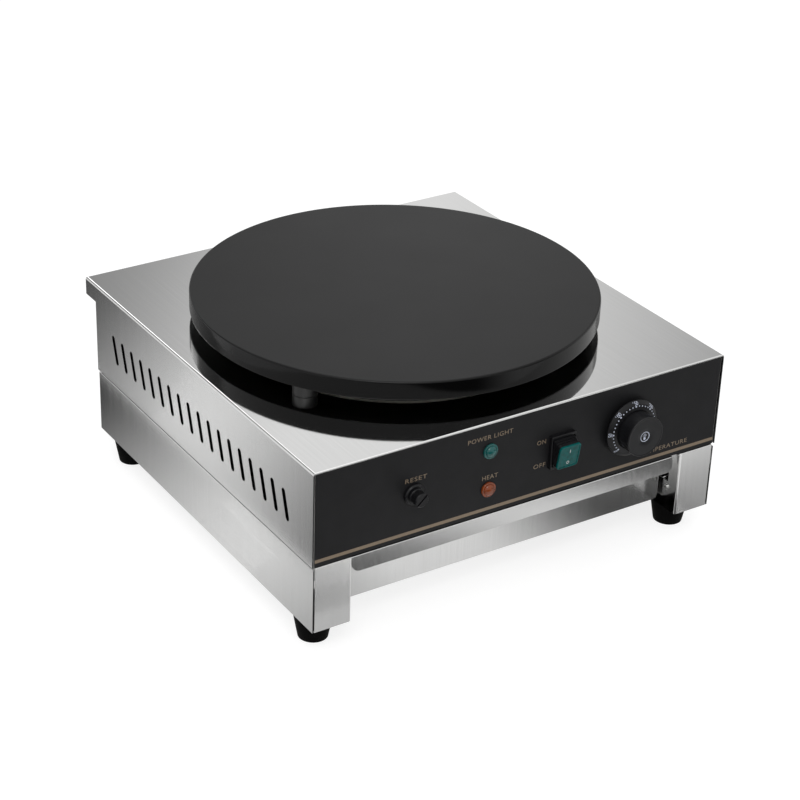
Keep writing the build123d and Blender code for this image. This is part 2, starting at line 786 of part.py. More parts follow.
def layer(radius, top, thickness):
    """A disc of the heating set, with room for the terminals, the capillaries and the stud."""
    disc = rod(radius, (0, plate_y, top - thickness), (0, 0, 1), thickness)
    disc -= rod(cover_stud / 2 + stud_clearance, (0, plate_y, top - thickness - 1), (0, 0, 1), thickness + 2)
    for radius_of_ring in (element_outer_radius, element_inner_radius):
        (x0, y), (x1, _) = terminal_places(radius_of_ring)
        reach = element_gap_half + element_tube
        depth = element_tube / 2 + terminal_window
        disc -= block(-reach, reach, y - depth, y + depth, top - thickness - 1, top + 1)
    for x, y in capillary_places():
        disc -= rod(capillary_hole / 2, (x, y, top - thickness - 1), (0, 0, 1), thickness + 2)
    return disc


insulation_top = cover_top - cover_thickness
shield_top = insulation_top - insulation_thickness
stack_bottom = shield_top - shield_thickness


def cover_fixing():
    """The stud in the middle of the plate, with the washer and nut that clamp the heating set."""
    length = ceiling_z - stack_bottom + stud_tail
    stud = rod(cover_stud / 2, (0, plate_y, ceiling_z), (0, 0, -1), length)
    bore = cover_stud / 2 + stud_clearance
    washer = ring(clamp_washer_radius, bore, (0, plate_y, stack_bottom), (0, 0, -1), clamp_washer)
    across = cover_stud * nut_spread
    clamp = nut(cover_stud, across, cover_stud / 2, (0, plate_y, stack_bottom - clamp_washer), (0, 0, -1))
    return group([stud, washer, clamp])


def element_bushings():
    """A ceramic bushing in the top sheet round each terminal."""
    pieces = []
    for x, y in all_terminals():
        body = rod(bushing_collar / 2, (x, y, top_z), (0, 0, 1), bushing_collar_height)
        body += rod(bushing_barrel / 2, (x, y, top_z), (0, 0, -1), bushing_length)
        through = bushing_length + bushing_collar_height + 2
        bore = element_tube / 2 + bushing_fit
        pieces.append(body - rod(bore, (x, y, top_z - bushing_length - 1), (0, 0, 1), through))
    return group(pieces)


bulb_z = ceiling_z - press_gap - bulb_diameter / 2


def thermostat_sensor():
    """The thermostat's bulb under the plate and its capillary down to the body."""
    x, y = capillary_places()[0]
    bulb = rod(bulb_diameter / 2, (-bulb_length / 2, y, bulb_z), (1, 0, 0), bulb_length)
    start = (bulb_length / 2, y, bulb_z)
    end_y = panel_back + thermostat_depth
    turn_z = under_top - capillary_drop
    body_z = housing_z + knob_height + capillary_rise
    points = [start, (x, y, bulb_z), (x, y, turn_z), (knob_x, (y + end_y) / 2, turn_z - capillary_drop / 2),
              (knob_x, end_y + capillary_lead, body_z), (knob_x, end_y, body_z)]
    radii = [capillary_tight_bend, capillary_bend, capillary_bend, capillary_bend]
    return bulb + tube(points, radii, capillary)


def cutout_sensor():
    """The cut-out's bulb under the plate and its capillary down to the body."""
    x, y = capillary_places()[1]
    bulb = rod(bulb_diameter / 2, (x, plate_y - bulb_length / 2, bulb_z), (0, 1, 0), bulb_length)
    start = (x, plate_y - bulb_length / 2, bulb_z)
    end_y = panel_back + cutout_depth
    turn_z = under_top - capillary_drop
    body_z = housing_z + reset_height + capillary_rise
    lead_y = end_y + capillary_lead
    above_lead = (reset_x, lead_y + capillary_drop / 2, turn_z - capillary_drop / 2)
    into_body = [(reset_x, lead_y, body_z), (reset_x, end_y, body_z)]
    points = [start, (x, y, bulb_z), (x, y, turn_z), above_lead, *into_body]
    radii = [capillary_tight_bend, capillary_bend, capillary_bend, capillary_tight_bend]
    return bulb + tube(points, radii, capillary)


# ================================================================ controls
def blade_at(x, back, z, width=blade):
    """One terminal blade, behind a body."""
    return block(x - width / 2, x + width / 2, back, back + blade_length, z - blade_thickness / 2,
                 z + blade_thickness / 2)


def thermostat_body():
    """The switch box behind the panel, with its bush and two blade terminals."""
    z = housing_z + knob_height
    side_half = thermostat_size / 2
    back = panel_back + thermostat_depth
    body = block(knob_x - side_half, knob_x + side_half, panel_back, back, z - side_half, z + side_half)
    body = fillet(body.edges().filter_by(Axis.Y), case_round)
    body += front_rod(thermostat_bush_radius, knob_x, knob_height, -2 * sheet, thermostat_bush_reach)
    for side in (-1, 1):
        body += blade_at(knob_x + side * blade_spread, back, z - blade_drop)
        screw_at = (knob_x + side * thermostat_screw_half, panel_back - 1, z)
        body -= rod(thermostat_screw / 2, screw_at, (0, 1, 0), thermostat_screw_length + 1)
    bore = front_rod(shaft_radius + running_fit, knob_x, knob_height, -shaft_tail, thermostat_bush_reach + 1)
    return body - bore


def thermostat_shaft():
    """The turning shaft, with a flat for the knob."""
    z = housing_z + knob_height
    shaft = front_rod(shaft_radius, knob_x, knob_height, 1.0 - shaft_tail, shaft_reach)
    flat = block(knob_x - 4, knob_x + 4, front_y - shaft_reach - 1, front_y - grip_hollow_end(),
                 z + shaft_radius - shaft_flat, z + 4)
    return shaft - flat


def thermostat_screws():
    """The two screws that hold the thermostat, hidden under the grip."""
    z = housing_z + knob_height
    places = [knob_x + side * thermostat_screw_half for side in (-1, 1)]
    seats = [(x, front_y + control_seat, z) for x in places]
    return group([pan_screw(thermostat_screw, thermostat_screw_length, seat, (0, 1, 0)) for seat in seats])


def dial_ring():
    """The fixed conical ring that carries the scale: a disc on a narrower hub."""
    inner = grip_base_radius + grip_clearance
    top, shoulder = dial_rim + dial_rise, dial_rim + dial_shoulder_rise
    seat, under = -control_seat, dial_rim - dial_disc
    hub = inner + dial_hub_wall
    outline = [(inner, seat), (hub, seat), (hub, under), (dial_radius, under),
               (dial_radius, dial_rim - dial_edge), (dial_radius - dial_edge, dial_rim),
               (dial_shoulder_radius, shoulder), (inner + dial_hub_wall / 4, top), (inner, top)]
    return from_front(outline, knob_x, knob_height)


def grip_hollow_end():
    """How far in front of the front face the hollow behind the grip ends."""
    return dial_stand_off + grip_hollow_depth


def thermostat_knob():
    """The turning grip, hollow behind, with a hub on the shaft and a seat for its face cap."""
    near = dial_stand_off
    face = knob_reach
    hollow = grip_base_radius - grip_wall
    seat = face - knob_cap_thickness
    edge = 0.3 * knob_edge
    outline = [(hollow, near), (grip_base_radius, near), (grip_base_radius, grip_base_reach),
               (grip_face_radius, face - knob_edge), (grip_face_radius - edge, face - edge),
               (grip_face_radius - knob_edge, face),
               (knob_cap_radius, face), (knob_cap_radius, seat), (0, seat), (0, grip_hollow_end()),
               (hollow, grip_hollow_end())]
    knob = from_front(outline, knob_x, knob_height)
    z = housing_z + knob_height
    bore_end = shaft_reach + 0.5
    hole = front_rod(shaft_radius + running_fit, knob_x, knob_height, 0, bore_end)
    flat = block(knob_x - 4, knob_x + 4, front_y - bore_end - 1, front_y,
                 z + shaft_radius - shaft_flat + running_fit, z + 5)
    return knob - (hole - flat)


def knob_face_cap():
    """The dished disc in the knob's face."""
    radius = knob_cap_radius - knob_cap_fit
    back = knob_reach - knob_cap_thickness
    disc = from_front([(0, back), (radius, back), (radius, knob_reach), (0, knob_reach)], knob_x, knob_height)
    centre = (knob_x, front_y - knob_reach - knob_dish_radius + knob_dish_depth, housing_z + knob_height)
    return disc - Pos(*centre) * Sphere(knob_dish_radius)


def cutout_bezel():
    """The flanged bush of the reset button, with the neck that the cap fits over."""
    bore = button_radius + button_clearance
    thread = cutout_thread_radius
    outline = [(bore, -cutout_start), (thread, -cutout_start), (thread, -control_seat),
               (bezel_radius, -control_seat), (bezel_radius, bezel_reach - bezel_chamfer),
               (bezel_radius - bezel_chamfer, bezel_reach),
               (neck_radius, bezel_reach), (neck_radius, neck_reach), (bore, neck_reach)]
    return from_front(outline, reset_x, reset_height)


def cutout_body():
    """The cut-out's switch box behind its bush, with a pocket for the button's tail."""
    z = housing_z + reset_height
    start = front_y + cutout_start
    back = panel_back + cutout_depth
    side_half = cutout_size / 2
    body = block(reset_x - side_half, reset_x + side_half, start, back, z - side_half, z + side_half)
    body = fillet(body.edges().filter_by(Axis.Y), case_round)
    for side in (-1, 1):
        body += blade_at(reset_x + side * blade_spread, back, z - blade_drop)
    pocket = button_radius + button_clearance
    pocket_end = -cutout_start - button_pocket_depth
    return body - front_rod(pocket, reset_x, reset_height, pocket_end, 1 - cutout_start)


def reset_button():
    """The sprung button that resets the cut-out."""
    tail = cutout_start + button_pocket_depth - button_travel - 1.0
    body = front_rod(button_radius, reset_x, reset_height, -tail, button_reach)
    return fillet(body.edges().sort_by(Axis.Y)[0], 0.8)


def reset_cap():
    """The cap over the reset button, with a screwdriver slot in its face."""
    inner = neck_radius + cap_clearance
    start = bezel_reach + cap_clearance
    roof = cap_reach - cap_roof
    foot_end = start + cap_flare_height
    outline = [(inner, start), (cap_radius + cap_flare, start), (cap_radius + cap_flare, foot_end),
               (cap_radius, foot_end + cap_flare), (cap_radius, cap_reach - cap_chamfer),
               (cap_radius - cap_chamfer, cap_reach), (0, cap_reach), (0, roof), (inner, roof)]
    cap = from_front(outline, reset_x, reset_height)
    along = (cos(radians(cap_slot_angle)), 0, sin(radians(cap_slot_angle)))
    face = (reset_x, front_y - cap_reach, housing_z + reset_height)
    place = Plane(origin=face, x_dir=along, z_dir=(0, -1, 0))
    return cap - place * Box(cap_radius * 3, cap_slot_width, cap_slot_depth * 2)


def lamp_lens(height):
    """A domed lens with a flat rim, and the barrel that goes through the panel."""
    seat = -control_seat
    foot_reach = lens_rim + dome_foot
    dome = [(lens_radius, lens_rim)]
    dome_radius, dome_height = lens_radius - dome_inset, lens_reach - foot_reach
    steps = 8
    for index in range(1, steps):
        angle = pi / 2 * index / steps
        dome.append((dome_radius * cos(angle), foot_reach + dome_height * sin(angle)))
    inner = lamp_barrel_radius - lamp_barrel_wall
    outline = [(0, -lamp_seat), (inner, -lamp_seat), (inner, seat), (lens_radius, seat)]
    return from_front(outline + dome + [(0, lens_reach)], lamp_x, height)


def lamp_body(height):
    """The lamp's socket behind the panel, with its two blades."""
    z = housing_z + height
    inner = lamp_barrel_radius - lamp_barrel_wall
    start = front_y + lamp_seat
    sleeve_length = lamp_seat - control_seat
    body = rod(lamp_body_radius, (lamp_x, start, z), (0, 1, 0), lamp_body_length)
    body += ring(lamp_barrel_radius, inner, (lamp_x, front_y + control_seat, z), (0, 1, 0), sleeve_length)
    for side in (-1, 1):
        body += blade_at(lamp_x + side * lamp_blade, start + lamp_body_length, z, lamp_blade)
    return body


def panel_nuts():
    """The nuts behind the panels: two for the lamps, one for the cut-out and one for the gland."""
    pieces = [panel_nut(2 * lamp_barrel_radius, (lamp_x, panel_back, housing_z + height), (0, 1, 0))
              for height in (power_lamp_height, heat_lamp_height)]
    reset_at = (reset_x, panel_back, housing_z + reset_height)
    pieces.append(panel_nut(2 * cutout_thread_radius, reset_at, (0, 1, 0)))
    gland_at = (gland_x, rear_wall_y - sheet, housing_z + gland_height)
    pieces.append(panel_nut(2 * gland_thread_radius, gland_at, (0, -1, 0)))
    return group(pieces)


def rocker_opening(reach_from, reach_to):
    """The opening that the rocker turns in, between two distances forward of the front face."""
    tilt = radians(rocker_tilt)
    swing = rocker_skirt_height / 2 * cos(tilt) - rocker_tail_reach * sin(tilt)
    width = rocker_skirt_width + 2 * rocker_clearance
    height = 2 * (swing + rocker_clearance)
    return rounded_frame(width, height, rocker_round - 1.0, reach_from, reach_to, switch_x, switch_height)


def switch_bezel():
    """The switch's frame, with bevelled edges round its front."""
    frame = rounded_frame(switch_width, switch_frame_height, 1.0, -control_seat, switch_frame_reach, switch_x,
                          switch_height)
    front = frame.faces().sort_by(Axis.Y)[0]
    frame = chamfer(front.edges(), switch_frame_bevel)
    return frame - rocker_opening(-control_seat - 1, switch_frame_reach + 1)


def switch_body():
    """The switch's case behind the bezel, open in front for the rocker, with four blades."""
    z = housing_z + switch_height
    back = panel_back + switch_case_depth
    half_w, half_h = switch_case_width / 2, switch_case_height / 2
    case = block(switch_x - half_w, switch_x + half_w, front_y + control_seat, back, z - half_h, z + half_h)
    tilt = radians(rocker_tilt)
    deepest = rocker_pivot_reach + rocker_tail_reach * cos(tilt) - rocker_skirt_height / 2 * sin(tilt)
    case -= rocker_opening(deepest - 1.0, 1.0)
    for side in (-1, 1):
        for row in (-1, 1):
            case += blade_at(switch_x + side * blade_spread, back, z + row * blade_drop)
    return case


def rocker_pivot():
    """A point on the rocker's pivot, in the middle of the switch."""
    return (switch_x, front_y - rocker_pivot_reach, housing_z + switch_height)


def rocker_layer(width, height, reach_from, reach_to):
    """One step of the rocker, between two distances from its pivot, before it is tilted."""
    start, end = rocker_pivot_reach + reach_from, rocker_pivot_reach + reach_to
    return rounded_frame(width, height, rocker_round, start, end, switch_x, switch_height)


def tilted(shape):
    """Turn a piece of the rocker about its pivot, upper end outwards."""
    return shape.rotate(Axis(rocker_pivot(), (1, 0, 0)), rocker_tilt)


def rocker_skirt():
    """The rocker's stepped black body, with a pin at each side."""
    x, y, z = rocker_pivot()
    lens_back = rocker_face_reach - rocker_lens_thickness
    body = rocker_layer(rocker_skirt_width, rocker_skirt_height, rocker_tail_reach, rocker_skirt_reach)
    body += rocker_layer(rocker_step_width, rocker_step_height, rocker_skirt_reach - 1, rocker_step_reach)
    body += rocker_layer(rocker_face_width, rocker_face_height, rocker_step_reach - 1, lens_back)
    pin_length = rocker_skirt_width + 2 * (rocker_clearance - 0.1)
    body += rod(rocker_pin, (x - pin_length / 2, y, z), (1, 0, 0), pin_length)
    return tilted(body)


def switch_rocker():
    """The rocker's coloured lens, with a raised rim round a shallow dip."""
    lens_back = rocker_face_reach - rocker_lens_thickness
    lens = rocker_layer(rocker_face_width, rocker_face_height, lens_back, rocker_face_reach)
    inner_width = rocker_face_width - 2 * rocker_lens_rim
    inner_height = rocker_face_height - 2 * rocker_lens_rim
    front = lens.faces().sort_by(Axis.Y)[0]
    lens = fillet(front.edges(), rocker_lens_dip)
    start = rocker_pivot_reach + rocker_face_reach - rocker_lens_dip
    corner = rocker_round - rocker_lens_rim
    lens -= rounded_frame(inner_width, inner_height, corner, start, start + 2, switch_x, switch_height)
    return tilted(lens)


# ================================================================ drawer
def drawer_front():
    """The drawer's front sheet, folded forward at the top into a pull that hangs down."""
    face = front_y + drawer_setback
    low = base_z + drawer_rise
    high = base_z + drawer_top
    pull = front_y + pull_setback
    toe = pull - pull_toe
    pull_low = high - pull_height
    outline = Polyline((0, face + sheet, low), (0, face + sheet, high), (0, pull, high), (0, toe, pull_low),
                       (0, toe + sheet, pull_low), (0, pull + sheet, high - sheet), (0, face, high - sheet),
                       (0, face, low), close=True)
    body = extrude(make_face(outline), drawer_half_width, both=True, dir=(1, 0, 0))
    top_edges = body.edges().filter_by(Axis.X).filter_by_position(Axis.Z, high - 0.01, high + 0.01)
    body = fillet(top_edges, front_bend)
    pull_keep = front_y + pull_setback + 4
    corner_cut = []
    for side in (-1, 1):
        x = side * drawer_half_width
        corner_cut.append(corner_cutter(x, side, toe - 2, pull_keep, pull_low, pull_round))
        corner_cut.append(corner_cutter(x, side, face - 2, face + 3, low, front_round))
    for cutter in corner_cut:
        body -= cutter
    return body


def corner_cutter(x, side, y0, y1, z, radius):
    """What rounds off a sheet's lower corner."""
    square = block(x - side * radius, x + side, y0, y1, z - 1, z + radius)
    return square - rod(radius, (x - side * radius, y0 - 1, z + radius), (0, 1, 0), y1 - y0 + 2)


def drawer_tray():
    """The open tray behind the drawer's front."""
    y0 = front_y + drawer_setback + sheet
    y1 = y0 + tray_length
    z0 = base_z + drawer_rise
    z1 = z0 + tray_wall
    body = block(-drawer_half_width, drawer_half_width, y0, y1, z0, z1)
    along = body.edges().filter_by(Axis.Y).sort_by(Axis.Z)[:2]
    across = body.edges().filter_by(Axis.X).sort_by(Axis.Z)[:2].sort_by(Axis.Y)[-1:]
    body = fillet(along + across, tray_bend)
    inner_half_width = drawer_half_width - sheet
    inner = block(-inner_half_width, inner_half_width, y0 + sheet, y1 - sheet, z0 + sheet, z1 + 1)
    inner = fillet(inner.edges().filter_by(Axis.Y).sort_by(Axis.Z)[:2], tray_bend - sheet)
    return body - inner


# ================================================================ inside and rear
def terminal_block():
    """The supply terminals on the floor pan, near the gland."""
    length, width, height = terminal_block_size
    y = rear_wall_y - terminal_inset
    top = housing_z + height
    body = block(gland_x - length / 2, gland_x + length / 2, y - width / 2, y + width / 2, housing_z, top)
    for index in range(terminal_ways):
        x = gland_x + (index - (terminal_ways - 1) / 2) * length / terminal_ways
        bottom = (x, y, top - terminal_screw_depth)
        body -= rod(terminal_screw_radius, bottom, (0, 0, 1), terminal_screw_depth + 1)
    return body


def earth_stud():
    """The earth stud on the floor pan, with its nut."""
    at = (gland_x - earth_spacing, rear_wall_y - terminal_inset, housing_z)
    return group([rod(earth_thread / 2, at, (0, 0, 1), earth_length), plain_nut(earth_thread, at, (0, 0, 1))])


def cord_gland():
    """The gland body: a threaded barrel through the rear panel and a hexagon outside."""
    z = housing_z + gland_height
    at = (gland_x, rear_wall_y, z)
    body = hex_solid(gland_hex, gland_hex_length, at, (0, 1, 0))
    sleeve_at = (gland_x, rear_wall_y + gland_hex_length, z)
    body += rod(gland_thread_radius + gland_wall, sleeve_at, (0, 1, 0), gland_reach - gland_hex_length)
    end = [e for e in body.edges().filter_by(GeomType.CIRCLE).sort_by(Axis.Y)][-1]
    body = fillet(end, gland_round)
    body += rod(gland_thread_radius, at, (0, -1, 0), gland_tail)
    bore_start = (gland_x, rear_wall_y + gland_reach + 1, z)
    return body - rod(gland_bore_radius, bore_start, (0, -1, 0), gland_reach + gland_tail + 2)


def housing_screws():
    """The screws and nuts of the floor pan, the rear panel and the legs' inner sides."""
    pieces = []
    for x, y in pan_screw_places():
        pieces.append(pan_screw(housing_screw, housing_screw_length, (x, y, seam_z - sheet), (0, 0, 1)))
        pieces.append(plain_nut(housing_screw, (x, y, housing_z), (0, 0, 1)))
    for x, z in rear_screw_places():
        pieces.append(pan_screw(housing_screw, housing_screw_length, (x, rear_wall_y, z), (0, -1, 0)))
        pieces.append(plain_nut(housing_screw, (x, rear_wall_y - 2 * sheet, z), (0, -1, 0)))
    for name, side, front in leg_list():
        forward = -1 if front else 1
        face_y = front_y if front else rear_wall_y
        inner = side * leg_inner
        (near_y, near_z), (far_y, far_z) = leg_screw_places(face_y, forward)
        runner_face = (inner - side * sheet, far_y, far_z)
        pieces.append(pan_screw(side_screw, side_screw_length, runner_face, (side, 0, 0)))
        if front:
            pieces.append(pan_screw(side_screw, side_screw_length, (inner, near_y, near_z), (side, 0, 0)))
    return group(pieces)


def wires():
    """The wires from the supply terminals to the switch, thermostat, lamps and elements."""
    length, width, height = terminal_block_size
    floor = housing_z + wire_rise
    start_y = rear_wall_y - terminal_inset - width / 2
    switch_back = panel_back + switch_case_depth + blade_length
    thermostat_back = panel_back + thermostat_depth + blade_length
    z_low = housing_z + switch_height - blade_drop
    z_high = housing_z + switch_height + blade_drop
    z_knob = housing_z + knob_height - blade_drop
    pieces = []
    for index in range(2):
        x = gland_x + (index - 1) * length / terminal_ways
        to_x = switch_x + (index * 2 - 1) * blade_spread
        run_y = front_y + wire_run + index * wire_spacing
        points = [(x, start_y, floor), (x, run_y, floor), (to_x, run_y, floor),
                  (to_x, switch_back + 2 * wire_spacing, floor), (to_x, switch_back + wire_spacing, z_low),
                  (to_x, switch_back, z_low)]
        pieces.append(tube(points, [wire_bend, wire_bend, wire_bend, wire_tight_bend], wire))
    from_x, x = switch_x + blade_spread, knob_x - blade_spread
    points = [(from_x, switch_back, z_high), (from_x, switch_back + 2 * wire_spacing, z_high),
              (x, thermostat_back + 2 * wire_spacing, z_knob), (x, thermostat_back, z_knob)]
    pieces.append(tube(points, [wire_bend, wire_bend], wire))
    terminal_x, terminal_y = terminal_places(element_inner_radius)[1]
    terminal_low = top_z - element_drop - terminal_pin_length
    x = knob_x + blade_spread
    under_terminal = (terminal_x, terminal_y, terminal_low - 2 * wire_spacing)
    points = [(x, thermostat_back, z_knob), (x, thermostat_back + 3 * wire_spacing, z_knob), under_terminal,
              (terminal_x, terminal_y, terminal_low)]
    pieces.append(tube(points, [wire_bend, wire_bend], wire))
    return group(pieces)


# ================================================================ everything, written out
save("upper_housing", upper_housing())
save("floor_pan", floor_pan())
save("front_panel", front_panel())
save("control_overlay", control_overlay())
save("rear_panel", rear_panel())
save("base_rear_panel", base_rear_panel())
for side, word in ((-1, "left"), (1, "right")):
    save(f"base_side_{word}", base_side(side))
    save(f"drawer_runner_{word}", drawer_runner(side))
for name, side, front in leg_list():
    save(f"leg_{name}", leg(side, front))
    save(f"foot_{name}", foot(side, front))
save("foot_screws", foot_screws())

save("griddle_plate", griddle_plate())
for index, place in enumerate(post_places()):
    save(f"plate_post_{index + 1}", post(place))
save("post_bolts", post_bolts())
save("heating_element_outer", heating_element(element_outer_radius))
save("heating_element_inner", heating_element(element_inner_radius))
save("element_cover", layer(cover_radius, cover_top, cover_thickness))
save("insulation_disc", layer(cover_radius, insulation_top, insulation_thickness))
save("heat_shield", layer(cover_radius + shield_overlap, shield_top, shield_thickness))
save("cover_fixing", cover_fixing())
save("element_bushings", element_bushings())
save("thermostat_sensor", thermostat_sensor())
save("cutout_sensor", cutout_sensor())

save("thermostat_body", thermostat_body())
save("thermostat_shaft", thermostat_shaft())
save("thermostat_screws", thermostat_screws())
save("dial_ring", dial_ring())
save("thermostat_knob", thermostat_knob())
save("knob_face_cap", knob_face_cap())
save("cutout_bezel", cutout_bezel())
save("cutout_body", cutout_body())
save("reset_button", reset_button())
save("reset_cap", reset_cap())
save("power_lamp_lens", lamp_lens(power_lamp_height))
save("heat_lamp_lens", lamp_lens(heat_lamp_height))
save("lamp_bodies", group([lamp_body(power_lamp_height), lamp_body(heat_lamp_height)]))
save("panel_nuts", panel_nuts())
save("switch_bezel", switch_bezel())
save("rocker_skirt", rocker_skirt())
save("switch_body", switch_body())
save("switch_rocker", switch_rocker())

save("drawer_front", drawer_front())
save("drawer_tray", drawer_tray())
save("terminal_block", terminal_block())
save("earth_stud", earth_stud())
save("cord_gland", cord_gland())
save("housing_screws", housing_screws())
save("wires", wires())
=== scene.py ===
import math

import bpy
import numpy as np
from bpy.props import FloatProperty, FloatVectorProperty, PointerProperty
from mathutils import Matrix, Vector


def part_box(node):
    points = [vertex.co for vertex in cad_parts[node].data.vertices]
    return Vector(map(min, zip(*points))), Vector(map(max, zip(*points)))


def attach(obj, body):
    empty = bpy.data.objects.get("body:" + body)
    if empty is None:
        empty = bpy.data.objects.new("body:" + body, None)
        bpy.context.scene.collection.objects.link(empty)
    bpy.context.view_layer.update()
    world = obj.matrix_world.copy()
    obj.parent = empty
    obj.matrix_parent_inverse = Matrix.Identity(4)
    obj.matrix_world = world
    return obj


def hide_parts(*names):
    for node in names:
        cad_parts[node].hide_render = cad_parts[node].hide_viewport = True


bl_info = {
    "name": "Crepe Maker",
    "version": (1, 0, 0),
    "blender": (4, 5, 0),
    "location": "View3D > Sidebar > Crepe Maker",
    "description": "Builds the pieces and finishes of an electric crepe maker round its CAD frame",
    "category": "Add Mesh",
}

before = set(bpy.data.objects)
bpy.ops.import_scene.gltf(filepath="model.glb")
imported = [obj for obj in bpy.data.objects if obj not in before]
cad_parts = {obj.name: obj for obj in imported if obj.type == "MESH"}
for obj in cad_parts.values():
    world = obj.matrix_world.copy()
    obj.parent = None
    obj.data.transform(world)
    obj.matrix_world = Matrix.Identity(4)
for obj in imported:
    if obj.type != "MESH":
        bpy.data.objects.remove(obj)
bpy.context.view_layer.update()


def span(node):
    """Lowest corner, highest corner and middle of a CAD node, as arrays in metres."""
    low, high = (np.array(corner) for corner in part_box(node))
    return low, high, (low + high) / 2


HOUSING_LOW, HOUSING_HIGH = span("upper_housing")[:2]
PLATE_LOW, PLATE_HIGH, PLATE_MID = span("griddle_plate")
DIAL_LOW, DIAL_HIGH, DIAL_MID = span("dial_ring")
KNOB_LOW = span("thermostat_knob")[0]
OVERLAY_LOW, OVERLAY_HIGH = span("control_overlay")[:2]
FRONT = float(HOUSING_LOW[1])
PANEL_FOOT = float(HOUSING_LOW[2])
EDGE_MARGIN = 0.0003    # how far the painted shade on the cut edges reaches in over the legs' faces
TOP_BEND = 0.0026       # how far below the top sheet the painted shade starts
SEAM_X = float(span("leg_front_right")[1][0]) - EDGE_MARGIN
SEAM_TOP = float(HOUSING_HIGH[2]) - TOP_BEND


# ------------------------------------------------------------------ sizes and colours
def length(name, text, value, **more):
    """A size in metres."""
    return FloatProperty(name=name, description=text, default=value, unit="LENGTH", precision=4, **more)


def colour(name, text, value):
    """A colour of three shares."""
    return FloatVectorProperty(name=name, description=text, default=value, subtype="COLOR", min=0.0, max=1.0)


def share(name, text, value):
    """A number from 0 to 1."""
    return FloatProperty(name=name, description=text, default=value, subtype="FACTOR", min=0.0, max=1.0)


def angle(name, text, degrees):
    """An angle, given in degrees."""
    return FloatProperty(name=name, description=text, default=math.radians(degrees), unit="ROTATION")


def number(name, text, value):
    """A plain number."""
    return FloatProperty(name=name, description=text, default=value)


class SteelSettings(bpy.types.PropertyGroup):
    outer: colour("Outer sheet", "Colour of the brushed outer sheets", (0.66, 0.66, 0.655))
    inner: colour("Inner sheet", "Colour of the plain inner sheets", (0.42, 0.42, 0.41))
    shine: share("Roughness", "How rough the brushed sheets are", 0.16)
    top_shine: share("Top roughness", "How rough the polished top sheet is", 0.045)
    grain: length("Grain width", "Width of one line of the brushing", 0.0004)


class PlateSettings(bpy.types.PropertyGroup):
    radius: length("Radius", "Outer radius of the cooking plate", float(PLATE_HIGH[0]))
    edge: length("Edge bevel", "Bevel round the plate's upper edge", 0.0016)
    coat: colour("Coating", "Colour of the plate's dark coating", (0.0020, 0.0020, 0.0021))
    rough: share("Roughness", "How rough the coating is", 0.40)


class FootSettings(bpy.types.PropertyGroup):
    rubber: colour("Rubber", "Colour of the feet", (0.003, 0.003, 0.003))
    post_coat: colour("Post", "Colour of the posts under the plate", (0.012, 0.012, 0.012))


class ControlSettings(bpy.types.PropertyGroup):
    panel: colour("Panel", "Colour of the black control face", (0.010, 0.010, 0.0108))
    plastic: colour("Plastic", "Colour of the black controls", (0.0055, 0.0055, 0.0065))
    green: colour("Green", "Colour of the power lamp and the rocker", (0.0, 0.085, 0.08))
    orange: colour("Orange", "Colour of the heat lamp", (0.20, 0.036, 0.003))
    lens_radius: length("Lens radius", "Outer radius of a lamp's lens", 0.0076)
    lens_reach: length("Lens reach", "How far a lamp's lens stands out", 0.0046)


class PrintSettings(bpy.types.PropertyGroup):
    tan: colour("Panel ink", "Colour of the line and the words", (0.22, 0.165, 0.11))
    pale: colour("Dial ink", "Colour of the dial's marks", (0.55, 0.59, 0.70))
    white: colour("Rocker ink", "Colour of the rocker's signs", (0.6, 0.62, 0.62))
    letter: length("Letter height", "Height of the panel's capitals", 0.0044)
    line: length("Line width", "Width of the line along the panel", 0.0034)
    line_height: length("Line height", "Line's middle above the housing's lower edge", 0.0057)
    ink: length("Ink", "Thickness of the printing", 0.00005)


class StageSettings(bpy.types.PropertyGroup):
    azimuth: angle("Azimuth", "Camera's turn about the machine", -29.757)
    height: angle("Elevation", "Camera's height above level", 27.654)
    roll: angle("Roll", "Camera's turn about its view", 0.166)
    distance: length("Distance", "From the camera to the point it looks at", 1.85)
    lens: number("Lens", "Focal length on a 36 mm sensor, in millimetres", 96.709)
    shift_right: number("Shift right", "Lens moved across, in picture widths", 0.16649)
    shift_up: number("Shift up", "Lens moved up, in picture widths", -0.04337)
    floor: share("Floor", "How pale the floor is", 0.75)
    world: share("World", "Level of the light from all around", 0.55)


# ------------------------------------------------------------------ numpy shapes
def make_piece(name, points, faces, body, slot, material, smooth=True, sharp=34.0):
    """An object from an array of points and lists of faces, riding on a body of the frame."""
    mesh = bpy.data.meshes.new(name)
    mesh.from_pydata(np.asarray(points, float).reshape(-1, 3).tolist(), [], faces)
    mesh.validate()
    if smooth:
        mesh.shade_smooth()
        mesh.set_sharp_from_angle(angle=math.radians(sharp))
    mesh.materials.append(material)
    piece = bpy.data.objects.new(name, mesh)
    bpy.context.scene.collection.objects.link(piece)
    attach(piece, body)
    return piece


def corner_points(mesh):
    """All corners of a mesh as one array of rows."""
    values = np.zeros(len(mesh.vertices) * 3)
    mesh.vertices.foreach_get("co", values)
    return values.reshape(-1, 3)


def grid_faces(rows, columns, close_rows=False, close_columns=False):
    """Four-cornered faces of a grid of points: each joins a point to its next along both ways."""
    r = np.arange(rows if close_rows else rows - 1)
    c = np.arange(columns if close_columns else columns - 1)
    row, column = (a.ravel() for a in np.meshgrid(r, c, indexing="ij"))
    next_row, next_column = (row + 1) % rows, (column + 1) % columns
    corners = (row * columns + column, row * columns + next_column, next_row * columns + next_column,
               next_row * columns + column)
    return np.stack(corners, axis=1)


